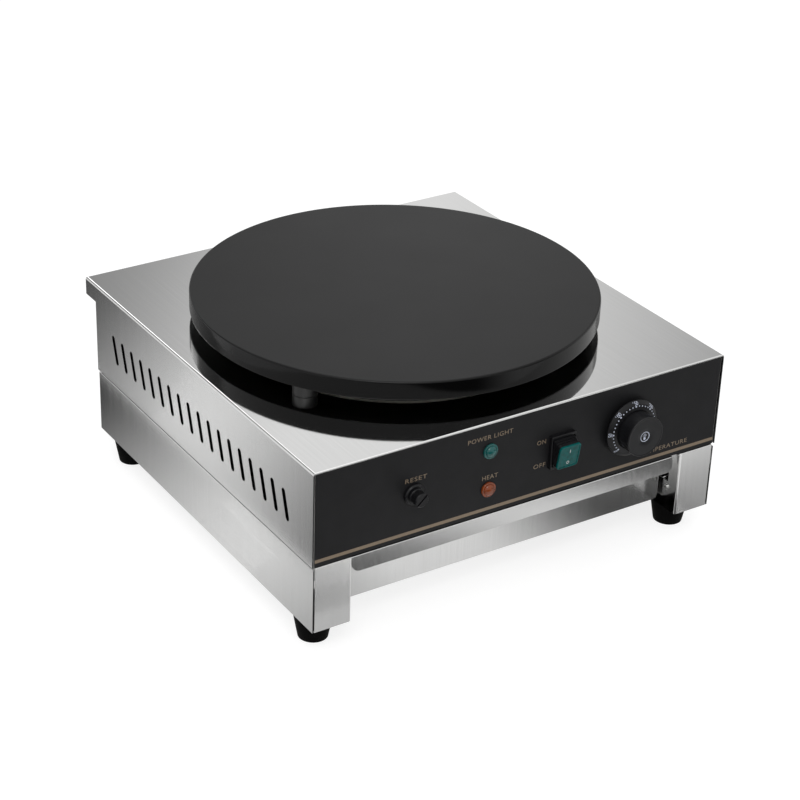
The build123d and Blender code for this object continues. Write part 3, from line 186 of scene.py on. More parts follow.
def rounded_outline(corners, steps=5, hold=0.35):
    """A closed or open outline with its corners rounded.

    corners holds rows of (across, along, rounding). At each corner the arc starts and ends where the
    two sides touch a circle of that rounding: the distance from the corner is the rounding times the
    tangent of half the turn. Points on the arc are the circle's middle plus the rounding times cosine
    and sine. A point is added on each side, a share of the rounding away, so that flat faces stay flat.
    """
    corners = np.asarray(corners, float)
    place = corners[:, :2]
    out = [place[0]]
    for before, corner, after, radius in zip(place[:-2], place[1:-1], place[2:], corners[1:-1, 2]):
        if radius <= 0:
            out.append(corner)
            continue
        a = (before - corner) / np.linalg.norm(before - corner)
        b = (after - corner) / np.linalg.norm(after - corner)
        turn = math.pi - math.acos(float(np.clip(a @ b, -1, 1)))
        reach = radius * math.tan(turn / 2)
        middle = corner + (a + b) / np.linalg.norm(a + b) * math.hypot(reach, radius)
        start, end = corner + a * reach - middle, corner + b * reach - middle
        t = np.linspace(0, 1, steps)[:, None]
        arc = (start * np.sin((1 - t) * turn) + end * np.sin(t * turn)) / math.sin(turn)
        out.append(corner + a * reach * (1 + hold))
        out.extend(middle + arc)
        out.append(corner + b * reach * (1 + hold))
    out.append(place[-1])
    return np.array(out)


def turned(name, outline, centre, forward, steps, body, slot, material, sharp=34.0):
    """A turned piece: an outline of (radius, distance) carried round an axis.

    A point lies at the centre, plus distance along the axis, plus radius times cosine and sine of the
    turn across it. Where the outline meets the axis, all turns share one point.
    """
    outline = np.asarray(outline, float)
    forward = np.asarray(forward, float)
    across = np.array([1.0, 0, 0]) if abs(forward[0]) < 0.5 else np.array([0, 1.0, 0])
    side = np.cross(forward, across)
    turn = np.linspace(0, 2 * math.pi, steps, endpoint=False)
    circle = np.cos(turn)[:, None] * across + np.sin(turn)[:, None] * side
    ring = outline[:, 0] > 1e-9
    rings = outline[ring]
    points = np.asarray(centre) + rings[:, 1][:, None, None] * forward + rings[:, 0][:, None, None] * circle
    points = points.reshape(-1, 3)
    open_ends = not ring[0] or not ring[-1]
    quads = grid_faces(len(rings), steps, close_rows=not open_ends, close_columns=True)
    faces = quads[:, ::-1].tolist()
    around = np.arange(steps)
    after = (around + 1) % steps
    if not ring[0]:
        pole = len(points)
        points = np.vstack([points, np.asarray(centre) + outline[0, 1] * forward])
        faces += np.stack([around, after, np.full(steps, pole)], axis=1).tolist()
    if not ring[-1]:
        pole = len(points)
        points = np.vstack([points, np.asarray(centre) + outline[-1, 1] * forward])
        last = (len(rings) - 1) * steps
        faces += np.stack([last + after, last + around, np.full(steps, pole)], axis=1).tolist()
    piece = make_piece(name, points, faces, body, slot, material, sharp=sharp)
    face_outwards(piece.data)
    return piece


def face_outwards(mesh):
    """Turn the faces of a closed mesh so that the volume they enclose is positive.

    The volume is a sixth of the sum, over all triangles, of a corner's product with the cross product
    of the other two.
    """
    mesh.calc_loop_triangles()
    corners = corner_points(mesh)
    triangles = np.zeros(len(mesh.loop_triangles) * 3, int)
    mesh.loop_triangles.foreach_get("vertices", triangles)
    a, b, c = (corners[triangles.reshape(-1, 3)[:, k]] for k in range(3))
    if float(np.einsum("ij,ij->i", a, np.cross(b, c)).sum()) < 0:
        mesh.flip_normals()


def slab(name, outline, place, thickness, body, slot, material):
    """A thin closed piece: a flat outline carried from its back to its front.

    place turns (right, up, out) into a point of the frame; it takes and gives whole arrays.
    """
    outline = np.asarray(outline, float)
    count = len(outline)
    back = place(outline[:, 0], outline[:, 1], np.zeros(count))
    front = place(outline[:, 0], outline[:, 1], np.full(count, thickness))
    faces = grid_faces(2, count, close_columns=True).tolist()
    faces += [list(range(count))[::-1], list(range(count, 2 * count))]
    piece = make_piece(name, np.vstack([back, front]), faces, body, slot, material, smooth=False)
    face_outwards(piece.data)
    return piece


def letters(text, height, spacing=1.0):
    """Points and faces of a word as a flat mesh, its capitals as tall as height, centred on zero."""
    curve = bpy.data.curves.new(text, "FONT")
    curve.body = text
    curve.size = 1.0
    curve.space_character = spacing
    curve.resolution_u = 3
    curve.fill_mode = "FRONT"
    maker = bpy.data.objects.new(text, curve)
    bpy.context.scene.collection.objects.link(maker)
    bpy.context.view_layer.update()
    flat = bpy.data.meshes.new_from_object(maker.evaluated_get(bpy.context.evaluated_depsgraph_get()))
    points = corner_points(flat)
    faces = [list(face.vertices) for face in flat.polygons]
    bpy.data.objects.remove(maker)
    bpy.data.curves.remove(curve)
    bpy.data.meshes.remove(flat)
    low, high = points.min(0), points.max(0)
    points = (points - (low + high) / 2) * height / (high[1] - low[1])
    return points[:, :2], faces


def thicken(points, faces, place, thickness):
    """A closed solid from a flat mesh: its faces in front, the same faces behind, and walls along its rim.

    The rim is every edge that only one face has.
    """
    count = len(points)
    back = place(points[:, 0], points[:, 1], np.zeros(count))
    front = place(points[:, 0], points[:, 1], np.full(count, thickness))
    edges = {}
    for face in faces:
        for a, b in zip(face, face[1:] + face[:1]):
            edges[(a, b)] = True
    rim = [(a, b) for a, b in edges if (b, a) not in edges]
    walls = [[a, b, b + count, a + count] for a, b in rim]
    lids = [[v + count for v in face] for face in faces] + [face[::-1] for face in faces]
    return np.vstack([back, front]), lids + walls


def join(parts):
    """Several sets of points and faces as one."""
    points, faces, start = [], [], 0
    for some_points, some_faces in parts:
        points.append(some_points)
        faces += [[v + start for v in face] for face in some_faces]
        start += len(some_points)
    return np.vstack(points), faces


def disc(radius, steps=12):
    """Points and one face of a flat disc: radius times cosine and sine of the turn."""
    turn = np.linspace(0, 2 * math.pi, steps, endpoint=False)
    return np.stack([radius * np.cos(turn), radius * np.sin(turn)], axis=1), [list(range(steps))]


def band(outer, inner):
    """Points and faces of a flat ring between two closed outlines of as many points each."""
    points = np.vstack([outer, inner])
    return points, grid_faces(2, len(outer), close_columns=True).tolist()


def capsule(half_width, half_height, steps=8):
    """Outline of an upright bar with round ends."""
    turn = np.linspace(0, math.pi, steps)
    top = np.stack([half_width * np.cos(turn), half_height - half_width + half_width * np.sin(turn)], axis=1)
    return np.vstack([top, -top])


def panel_place(x, z, out=0.0):
    """Turns (right, up, out) into frame points on the control face, round a place on it."""
    def place(right, up, forward):
        return np.stack([x + right, OVERLAY_LOW[1] - out - forward, z + up], axis=-1)
    return place


# ------------------------------------------------------------------ finishes
def shader(name, base, roughness, metallic=0.0, **sockets):
    """A material with one principled shader; returns it with its nodes, links and shader."""
    material = bpy.data.materials.new(name + "_finish")
    material.use_nodes = True
    tree = material.node_tree
    main = tree.nodes["Principled BSDF"]
    main.inputs["Base Color"].default_value = (*base, 1.0)
    main.inputs["Roughness"].default_value = roughness
    main.inputs["Metallic"].default_value = metallic
    for key, value in sockets.items():
        main.inputs[key].default_value = value
    return material, tree, main


def combine(tree, operation, *values):
    """One value worked out from others, each an output of a node or a plain number."""
    node = tree.nodes.new("ShaderNodeMath")
    node.operation = operation
    for place, value in enumerate(values):
        if isinstance(value, float):
            node.inputs[place].default_value = value
        else:
            tree.links.new(value, node.inputs[place])
    return node.outputs["Value"]


def noise(tree, stretch, detail=2.0, scale=1.0, rough=0.5):
    """A noise over object coordinates, stretched by a factor along each axis."""
    where = tree.nodes.new("ShaderNodeTexCoord")
    turn = tree.nodes.new("ShaderNodeMapping")
    turn.inputs["Scale"].default_value = stretch
    grains = tree.nodes.new("ShaderNodeTexNoise")
    grains.inputs["Scale"].default_value = scale
    grains.inputs["Detail"].default_value = detail
    grains.inputs["Roughness"].default_value = rough
    tree.links.new(where.outputs["Object"], turn.inputs["Vector"])
    tree.links.new(turn.outputs["Vector"], grains.inputs["Vector"])
    return grains.outputs["Fac"]


def spread(tree, value, low, high, source_low=0.3, source_high=0.7):
    """A value moved from the noise's usual range to another."""
    move = tree.nodes.new("ShaderNodeMapRange")
    move.inputs["From Min"].default_value = source_low
    move.inputs["From Max"].default_value = source_high
    move.inputs["To Min"].default_value = low
    move.inputs["To Max"].default_value = high
    tree.links.new(value, move.inputs["Value"])
    return move.outputs["Result"]


def tint(tree, base, factor, main):
    """Multiply the base colour by a varying factor."""
    mix = tree.nodes.new("ShaderNodeVectorMath")
    mix.operation = "SCALE"
    mix.inputs[0].default_value = base
    tree.links.new(factor, mix.inputs["Scale"])
    tree.links.new(mix.outputs["Vector"], main.inputs["Base Color"])


def bump(tree, height, strength, distance, main):
    """Raise the surface by a varying height."""
    node = tree.nodes.new("ShaderNodeBump")
    node.inputs["Strength"].default_value = strength
    node.inputs["Distance"].default_value = distance
    tree.links.new(height, node.inputs["Height"])
    tree.links.new(node.outputs["Normal"], main.inputs["Normal"])


def pick_by_facing(tree, level_value, upright_value):
    """Take one value on faces that lie level and another on upright ones, by the surface's own normal."""
    shape = tree.nodes.new("ShaderNodeNewGeometry")
    split = tree.nodes.new("ShaderNodeSeparateXYZ")
    choose = tree.nodes.new("ShaderNodeMix")
    tree.links.new(shape.outputs["Normal"], split.inputs["Vector"])
    tree.links.new(combine(tree, "ABSOLUTE", split.outputs["Z"]), choose.inputs["Factor"])
    tree.links.new(upright_value, choose.inputs["A"])
    tree.links.new(level_value, choose.inputs["B"])
    return choose.outputs["Result"]


def brushed_sheet(name, look, base, upright_rough, level_rough):
    """Brushed stainless sheet: fine lines up the upright faces and along the depth on level ones."""
    fine = 1.0 / look.grain
    material, tree, main = shader(name, base, upright_rough, 1.0)
    up_lines = noise(tree, (fine, fine, 9.0), detail=3.0)
    up_bands = noise(tree, (300.0, 300.0, 2.0), detail=2.0)
    along_lines = noise(tree, (fine, 9.0, fine), detail=3.0)
    along_bands = noise(tree, (300.0, 2.0, 300.0), detail=2.0)
    lines = pick_by_facing(tree, along_lines, up_lines)
    bands = pick_by_facing(tree, along_bands, up_bands)
    shade = combine(tree, "MULTIPLY", spread(tree, lines, 0.96, 1.04), spread(tree, bands, 0.99, 1.01))
    # the cut front edges get painted shade on top of the grain
    tint(tree, base, combine(tree, "MULTIPLY", shade, painted_shade_on_cut_edges(tree)), main)
    level = spread(tree, along_bands, level_rough * 0.92, level_rough * 1.08)
    upright = spread(tree, up_bands, upright_rough * 0.9, upright_rough * 1.12)
    tree.links.new(pick_by_facing(tree, level, upright), main.inputs["Roughness"])
    bump(tree, lines, 0.03, 0.0002, main)
    return material


def painted_shade_on_cut_edges(tree):
    """A factor of painted shade on the cut front edges of the side sheets, below the top's bend.

    Three tests are multiplied: the face looks to the front, it lies further out than the legs' faces,
    and it is lower than the bend.
    """
    shape = tree.nodes.new("ShaderNodeNewGeometry")
    facing = tree.nodes.new("ShaderNodeSeparateXYZ")
    tree.links.new(shape.outputs["Normal"], facing.inputs["Vector"])
    where = tree.nodes.new("ShaderNodeTexCoord")
    place = tree.nodes.new("ShaderNodeSeparateXYZ")
    tree.links.new(where.outputs["Object"], place.inputs["Vector"])
    front = combine(tree, "LESS_THAN", facing.outputs["Y"], -0.9)
    outside = combine(tree, "GREATER_THAN", combine(tree, "ABSOLUTE", place.outputs["X"]), SEAM_X)
    below = combine(tree, "LESS_THAN", place.outputs["Z"], SEAM_TOP)
    cover = combine(tree, "MULTIPLY", combine(tree, "MULTIPLY", front, outside), below)
    # painted shade: the cut edges drop to 0.06 of their colour
    return spread(tree, cover, 1.0, 0.06, 0.0, 1.0)


def plain_sheet(name, base, roughness):
    """Unbrushed mill-finish sheet, slightly cloudy."""
    material, tree, main = shader(name, base, roughness, 1.0)
    clouds = noise(tree, (30.0, 30.0, 30.0), detail=5.0)
    tint(tree, base, spread(tree, clouds, 0.9, 1.08), main)
    tree.links.new(spread(tree, clouds, roughness * 0.85, roughness * 1.2), main.inputs["Roughness"])
    return material


def moulded(name, base, roughness, grain=1400.0, depth=0.00002, specular=0.5):
    """Moulded plastic or rubber with a very fine skin."""
    material, tree, main = shader(name, base, roughness)
    main.inputs["Specular IOR Level"].default_value = specular
    skin = noise(tree, (grain, grain, grain), detail=3.0)
    clouds = noise(tree, (60.0, 60.0, 60.0), detail=3.0)
    tint(tree, base, spread(tree, clouds, 0.9, 1.1), main)
    tree.links.new(spread(tree, skin, roughness * 0.9, roughness * 1.1), main.inputs["Roughness"])
    bump(tree, skin, 0.25, depth, main)
    return material


def plate_coat(name, base, roughness):
    """Dark seasoned coating of the cast plate: a fine even tooth under a soft sheen."""
    material, tree, main = shader(name, base, roughness)
    main.inputs["IOR"].default_value = 1.25
    main.inputs["Specular IOR Level"].default_value = 0.6
    tooth = noise(tree, (900.0, 900.0, 900.0), detail=4.0)
    clouds = noise(tree, (14.0, 14.0, 14.0), detail=4.0)
    tint(tree, base, spread(tree, clouds, 0.93, 1.07), main)
    level = spread(tree, clouds, roughness * 0.88, roughness * 0.96)
    upright = spread(tree, clouds, roughness * 0.32, roughness * 0.38)
    tree.links.new(pick_by_facing(tree, level, upright), main.inputs["Roughness"])
    bump(tree, tooth, 0.2, 0.00004, main)
    return material


def lens_glass(name, base, gloss):
    """Tinted clear plastic of a lamp or rocker."""
    material, tree, main = shader(name, base, 0.2)
    main.inputs["Specular IOR Level"].default_value = gloss
    main.inputs["Coat Weight"].default_value = gloss / 2
    main.inputs["Coat Roughness"].default_value = 0.05
    swirl = noise(tree, (260.0, 260.0, 260.0), detail=2.0)
    tint(tree, base, spread(tree, swirl, 0.75, 1.25), main)
    return material


def ink(name, base):
    """Screen-printed ink, slightly uneven."""
    material, tree, main = shader(name, base, 0.45)
    speck = noise(tree, (1500.0, 1500.0, 1500.0), detail=2.0)
    tint(tree, base, spread(tree, speck, 0.9, 1.1), main)
    return material


def finish(name):
    """A finish that an earlier operator made."""
    return bpy.data.materials[name + "_finish"]


def give(material, *nodes):
    """Put a finish on CAD nodes, in place of their plain one."""
    for node in nodes:
        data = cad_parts[node].data
        data.materials.clear()
        data.materials.append(material)


def nodes_named(start):
    """The CAD nodes whose names start so."""
    return [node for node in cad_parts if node.startswith(start)]


# Finishes of what lies inside: name, colour, roughness and, for the moulded ones, what else they set.
INNER_METALS = (
    # painted shade: the floor pan is dark so the seam under the housing reads dark
    ("painted_seam_shade", (0.05, 0.05, 0.05), 0.5),
    ("zinc_fasteners", (0.5, 0.5, 0.49), 0.32),
    ("element_sheath", (0.22, 0.21, 0.2), 0.5),
    ("copper_tube", (0.7, 0.36, 0.22), 0.3),
)
INNER_MOULDINGS = (
    # A nearly black sheet for the element cover and heat shield under the plate.
    ("near_black_sheet", (0.006, 0.0055, 0.005), 0.6, {"grain": 700.0, "specular": 0.1}),
    ("insulation_board", (0.6, 0.58, 0.52), 0.95, {"grain": 400.0, "depth": 0.0003}),
    ("bushing_glaze", (0.75, 0.73, 0.68), 0.25, {}),
    ("terminal_plastic", (0.6, 0.58, 0.5), 0.5, {}),
    ("red_button", (0.4, 0.02, 0.015), 0.4, {}),
    ("wire_sleeve", (0.035, 0.035, 0.035), 0.55, {}),
)
POSTS = ("plate_post_1", "plate_post_2", "plate_post_3")
FEET = ("foot_front_left", "foot_front_right", "foot_rear_left", "foot_rear_right")
WEARERS = (
    # painted shade on the floor pan, for the seam
    ("painted_seam_shade", ("floor_pan",)),
    ("inner_sheet", ("front_panel", "rear_panel", "base_rear_panel", "drawer_runner_left",
                     "drawer_runner_right", "drawer_tray")),
    ("near_black_sheet", ("element_cover", "heat_shield")),
    ("zinc_fasteners", ("foot_screws", "post_bolts", "cover_fixing", "housing_screws", "panel_nuts",
                        "thermostat_screws", "earth_stud", "thermostat_shaft")),
    ("black_plastic", ("thermostat_body", "cutout_body", "cutout_bezel", "reset_cap", "switch_bezel",
                       "rocker_skirt", "switch_body", "lamp_bodies", "cord_gland", "thermostat_knob",
                       "dial_ring", "knob_face_cap")),
    ("black_panel_film", ("control_overlay",)),
    ("rocker_lens", ("switch_rocker",)),
    ("green_lens", ("power_lamp_lens",)),
    ("orange_lens", ("heat_lamp_lens",)),
    ("plate_coat", ("griddle_plate",)),
    ("post_coat", POSTS),
    ("element_sheath", ("heating_element_outer", "heating_element_inner")),
    ("copper_tube", ("thermostat_sensor", "cutout_sensor")),
    ("insulation_board", ("insulation_disc",)),
    ("bushing_glaze", ("element_bushings",)),
    ("terminal_plastic", ("terminal_block",)),
    ("red_button", ("reset_button",)),
    ("wire_sleeve", ("wires",)),
)


# ------------------------------------------------------------------ pieces
class CREPE_OT_finishes(bpy.types.Operator):
    """Make the finishes and put them on the frame's own parts"""
    bl_idname = "crepe.finishes"
    bl_label = "Frame finishes"

    def execute(self, context):
        scene = context.scene
        steel, control = scene.crepe_steel, scene.crepe_control
        plate, foot, prints = scene.crepe_plate, scene.crepe_foot, scene.crepe_print
        shell = brushed_sheet("polished_top_sheet", steel, steel.outer, steel.shine, steel.top_shine)
        brushed = brushed_sheet("brushed_sheet", steel, steel.outer, steel.shine, steel.shine)
        plain_sheet("inner_sheet", steel.inner, 0.38)
        moulded("black_plastic", control.plastic, 0.35, specular=0.25)
        moulded("black_panel_film", control.panel, 0.5, grain=2200.0, depth=0.00001, specular=0.17)
        moulded("foot_rubber", foot.rubber, 0.6, grain=900.0, depth=0.00005, specular=0.03)
        moulded("post_coat", foot.post_coat, 0.4, grain=800.0)
        plate_coat("plate_coat", plate.coat, plate.rough)
        lens_glass("green_lens", control.green, 0.4)
        lens_glass("orange_lens", control.orange, 0.4)
        lens_glass("rocker_lens", control.green, 0.12)
        ink("tan_ink", prints.tan)
        ink("pale_ink", prints.pale)
        ink("white_ink", prints.white)
        for name, base, roughness in INNER_METALS:
            plain_sheet(name, base, roughness)
        for name, base, roughness, more in INNER_MOULDINGS:
            moulded(name, base, roughness, **more)
        give(shell, "upper_housing")
        give(brushed, "base_side_left", "base_side_right", "drawer_front", *nodes_named("leg_"))
        for name, nodes in WEARERS:
            give(finish(name), *nodes)
        give(finish("foot_rubber"), *FEET)
        return {"FINISHED"}


class CREPE_OT_plate(bpy.types.Operator):
    """Make the round cooking plate"""
    bl_idname = "crepe.plate"
    bl_label = "Cooking plate"

    def execute(self, context):
        look = context.scene.crepe_plate
        low, high = float(PLATE_LOW[2]), float(PLATE_HIGH[2])
        radius, recess, depth, flat = look.radius, 0.162, 0.011, 0.02
        outline = rounded_outline([
            (0, low + depth, 0), (recess, low + depth, 0.0008), (recess, low, 0.0008), (radius, low, 0.001),
            (radius, high, look.edge), (radius - flat, high, 0), (0, high, 0)])
        piece = turned("cooking_plate", outline, (0, PLATE_MID[1], 0), (0, 0, 1), 192, "housing",
                       "griddle_cast_iron", finish("plate_coat"))
        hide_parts("griddle_plate")
        return {"FINISHED"}


class CREPE_OT_posts_and_feet(bpy.types.Operator):
    """Make the posts under the plate and the four rubber feet"""
    bl_idname = "crepe.posts_and_feet"
    bl_label = "Posts and feet"

    def execute(self, context):
        post_bore, post_edge = 0.0043, 0.0008
        for node in POSTS:
            low, high, mid = span(node)
            radius = float(high[0] - low[0]) / 2
            outline = rounded_outline([
                (post_bore, low[2], 0), (radius, low[2], post_edge), (radius, high[2], post_edge),
                (post_bore, high[2], 0), (post_bore, (low[2] + high[2]) / 2, 0)])
            piece = turned(node.replace("plate_post", "post"), outline, (mid[0], mid[1], 0), (0, 0, 1), 40,
                           "housing", "black_painted_steel", finish("post_coat"))
            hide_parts(node)
        toe, screw, head, shelf = 0.0142, 0.0027, 0.006, 0.016
        for node in FEET:
            low, high, mid = span(node)
            top, tall = float(high[0] - low[0]) / 2, float(high[2])
            outline = rounded_outline([
                (toe, 0, 0), (top, tall, 0.0006), (screw, tall, 0), (screw, shelf, 0), (head, shelf, 0),
                (head, shelf / 2, 0), (head, 0.0, 0)])
            piece = turned("rubber_" + node, outline, (mid[0], mid[1], 0), (0, 0, 1), 48, "housing",
                           "foot_rubber", finish("foot_rubber"))
            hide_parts(node)
        return {"FINISHED"}


class CREPE_OT_knob(bpy.types.Operator):
    """Make the dial, its scale and the turning grip"""
    bl_idname = "crepe.knob"
    bl_label = "Dial and knob"

    def execute(self, context):
        prints = context.scene.crepe_print
        plastic, pale = finish("black_plastic"), finish("pale_ink")
        x, z = float(DIAL_MID[0]), float(DIAL_MID[2])
        radius = float(DIAL_HIGH[0] - DIAL_LOW[0]) / 2
        inner, hub, seat, under = 0.0198, 0.0226, -0.0003, 0.0050
        away_steps, reach_steps = (0.0206, 0.0256, radius), (0.0102, 0.0090, 0.0064)
        outline = rounded_outline([
            (inner, seat, 0), (inner, reach_steps[0], 0.0003), (away_steps[0], reach_steps[0], 0.0004),
            (away_steps[1], reach_steps[1], 0.0015), (radius, reach_steps[2], 0.0006),
            (radius, under, 0.0003), (hub, under, 0.0003), (hub, seat, 0)])
        dial = turned("dial", outline, (x, FRONT, z), (0, -1, 0), 96, "housing", "black_plastic", plastic)
        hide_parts("dial_ring")

        def on_dial(turn, away, out):
            """A point of the dial's slope, by its turn from the top and its distance from the axis."""
            reach = np.interp(away, away_steps, reach_steps)
            return np.stack([x + away * np.sin(turn), FRONT - reach - out, z + away * np.cos(turn)], axis=-1)

        parts = []
        dots_at, figures_at = 0.0240, 0.0267
        for tens in range(31):
            turn = math.radians(-135 + tens * 9)
            size = 0.00092 if tens % 5 == 0 else 0.00066

            def mark(right, up, out, turn=turn):
                return on_dial(turn + right / dots_at, dots_at + up, out)
            parts.append(thicken(*disc(size), mark, prints.ink))
        for count, value in enumerate(("0", "50", "100", "150", "200", "250", "300")):
            turn = math.radians(-135 + count * 45)
            points, faces = letters(value, 0.0031, 0.95)

            def figure(right, up, out, turn=turn):
                return on_dial(turn + right / figures_at, figures_at + up, out)
            parts.append(thicken(points, faces, figure, prints.ink))
        make_piece("dial_scale", *join(parts), "housing", "black_plastic", pale, smooth=False)

        reach = FRONT - float(KNOB_LOW[1])
        foot, face_radius, dish, depth = 0.0195, 0.0202, 0.0105, 0.0015

        def hollow(away):
            """How far the grip's face stands out: a smooth dish whose depth follows a squared cosine."""
            bowl = np.cos(np.clip(away / dish, 0, 1) * math.pi / 2) ** 2
            return reach - 0.0003 - depth * bowl
        inwards = np.linspace(dish, 0, 14)
        outline = rounded_outline([
            (0, 0.004, 0), (foot - 0.002, 0.004, 0), (foot - 0.002, 0.0008, 0), (foot, 0.0008, 0.0003),
            (foot, 0.0108, 0.0006), (face_radius, reach - 0.0012, 0.0006),
            (face_radius - 0.0003, reach, 0.0006),
            (face_radius - 0.0020, reach - 0.0003, 0.0003), (dish, reach - 0.0003, 0)])
        outline = np.vstack([outline[:-1], np.stack([inwards, hollow(inwards)], axis=1)])
        grip = turned("knob_grip", outline, (x, FRONT, z), (0, -1, 0), 96, "knob", "black_plastic", plastic)
        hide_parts("thermostat_knob", "knob_face_cap")

        def on_face(right, up, out):
            """A point just over the grip's dished face."""
            level = hollow(np.hypot(right, up))
            return np.stack([x + right, FRONT - level - out, z + up], axis=-1)
        turn = np.linspace(0, 2 * math.pi, 40, endpoint=False)
        circle = np.stack([np.cos(turn), np.sin(turn)], axis=1)
        parts = [thicken(*band(circle * 0.0052, circle * 0.0045), on_face, prints.ink)]
        stem = capsule(0.0009, 0.0026) + (0, 0.0005)
        hole = capsule(0.0004, 0.0021) + (0, 0.0005)
        parts.append(thicken(*band(stem, hole), on_face, prints.ink))
        bulb, bulb_face = disc(0.0013, 16)
        parts.append(thicken(bulb + (0, -0.0022), bulb_face, on_face, prints.ink * 1.5))
        for side in (-1, 1):
            for level_up in (0.0004, 0.0016):
                tick, tick_face = disc(0.0003, 8)
                parts.append(thicken(tick + (side * 0.0019, level_up), tick_face, on_face, prints.ink))
        make_piece("knob_symbol", *join(parts), "knob", "black_plastic", pale, smooth=False)
        return {"FINISHED"}


class CREPE_OT_lamps(bpy.types.Operator):
    """Make the two lamp lenses"""
    bl_idname = "crepe.lamps"
    bl_label = "Lamps"

    def execute(self, context):
        look = context.scene.crepe_control
        for node, name, glass in (("power_lamp_lens", "power_lens", "green_lens"),
                                  ("heat_lamp_lens", "heat_lens", "orange_lens")):
            mid = span(node)[2]
            x, z = float(mid[0]), float(mid[2])
            radius, reach, seat = look.lens_radius, look.lens_reach, 0.0003
            flange, groove, dome = 0.0016, radius - 0.0014, radius - 0.0018
            arc = np.linspace(0, math.pi / 2, 10)
            cap = np.stack([dome * np.cos(arc), flange + (reach - flange) * np.sin(arc)], axis=1)
            edge = rounded_outline([(0, -seat, 0), (radius, -seat, 0.0002), (radius, flange, 0.0006),
                                    (groove, flange, 0.0002), (dome, flange - 0.0001, 0)])
            cap[-1, 0] = 0.0
            lens = turned(name, np.vstack([edge[:-1], cap]), (x, FRONT, z), (0, -1, 0), 48, "housing", glass,
                          finish(glass), sharp=50.0)
            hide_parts(node)
        return {"FINISHED"}


# Each word, its middle across, its height above the housing's lower edge and its width, in metres.
WORDS = (
    ("RESET", -0.1199, 0.0602, 0.0230),
    ("POWER LIGHT", -0.0412, 0.0810, 0.0489),
    ("HEAT", -0.0394, 0.0390, 0.0172),
    ("ON", 0.01645, 0.0590, 0.0099),
    ("OFF", 0.0158, 0.0346, 0.0135),
    ("TEMPERATURE", 0.1638, 0.0133, 0.0538),
)
ROCKER_LIFT = 0.00001    # keeps the rocker's signs clear of its face


class CREPE_OT_printing(bpy.types.Operator):
    """Print the line and the words on the control face, and the signs on the rocker"""
    bl_idname = "crepe.printing"
    bl_label = "Panel printing"

    def execute(self, context):
        look = context.scene.crepe_print
        ink_on = finish("tan_ink")
        left, right = float(OVERLAY_LOW[0]), float(OVERLAY_HIGH[0])
        z = PANEL_FOOT + look.line_height
        half = look.line / 2
        slab("panel_line", [(left, -half), (right, -half), (right, half), (left, half)], panel_place(0, z),
             look.ink, "housing", "panel_black", ink_on)
        parts = []
        for word, middle, up, width in WORDS:
            points, faces = letters(word, look.letter, 1.1)
            points[:, 0] *= width / float(np.ptp(points[:, 0]))
            parts.append(thicken(points, faces, panel_place(middle, PANEL_FOOT + up), look.ink))
        make_piece("panel_words", *join(parts), "housing", "panel_black", ink_on, smooth=False)
        place = rocker_place()
        turn = np.linspace(0, 2 * math.pi, 32, endpoint=False)
        ring = np.stack([np.cos(turn) * 0.0015, np.sin(turn) * 0.0017], axis=1)
        bar, hole = capsule(0.00035, 0.0018), 0.62
        bar_middle, ring_middle = (0.0002, 0.0062), (-0.0002, -0.0066)
        signs = [thicken(bar + bar_middle, [list(range(len(bar)))], place, look.ink),
                 thicken(*band(ring + ring_middle, ring * hole + ring_middle), place, look.ink)]
        make_piece("rocker_signs", *join(signs), "rocker", "green_lens", finish("white_ink"), smooth=False)
        return {"FINISHED"}


def rocker_place():
    """Turns (right, up, out) into frame points on the rocker's face, which lies as its largest faces do."""
    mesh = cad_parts["switch_rocker"].data
    areas = np.array([face.area for face in mesh.polygons])
    normals = np.array([face.normal[:] for face in mesh.polygons])
    middles = np.array([face.center[:] for face in mesh.polygons])
    like = normals @ normals[np.argmax(np.where(normals[:, 1] < -0.5, areas, 0))] > 0.9995
    out = (normals[like] * areas[like, None]).sum(0)
    out /= np.linalg.norm(out)
    middle = (middles[like] * areas[like, None]).sum(0) / areas[like].sum()
    up = np.cross(out, (1.0, 0, 0))
    up *= np.sign(up[2]) / np.linalg.norm(up)

    def place(right, above, forward):
        offsets = right[:, None] * np.array([1.0, 0, 0]) + above[:, None] * up
        return middle + offsets + (forward + ROCKER_LIFT)[:, None] * out
    return place


class CREPE_OT_stage(bpy.types.Operator):
    """Lay the floor, set the lights and aim the camera"""
    bl_idname = "crepe.stage"
    bl_label = "Floor, lights and camera"

    def execute(self, context):
        look = context.scene.crepe_stage
        lay_floor(look)
        light_world(look)
        hang_lamp("key_lamp", (-1.2, -1.6, 2.4), (0, 0, 0.1), 1.6, 1.2, 24.0)
        hang_lamp("top_lamp", (0.2, 0.2, 2.6), (0, 0, 0.1), 2.2, 2.2, 14.0)
        for name, *card in CARDS:
            hang_card("card_" + name, *card)
        aim_camera(look)
        return {"FINISHED"}


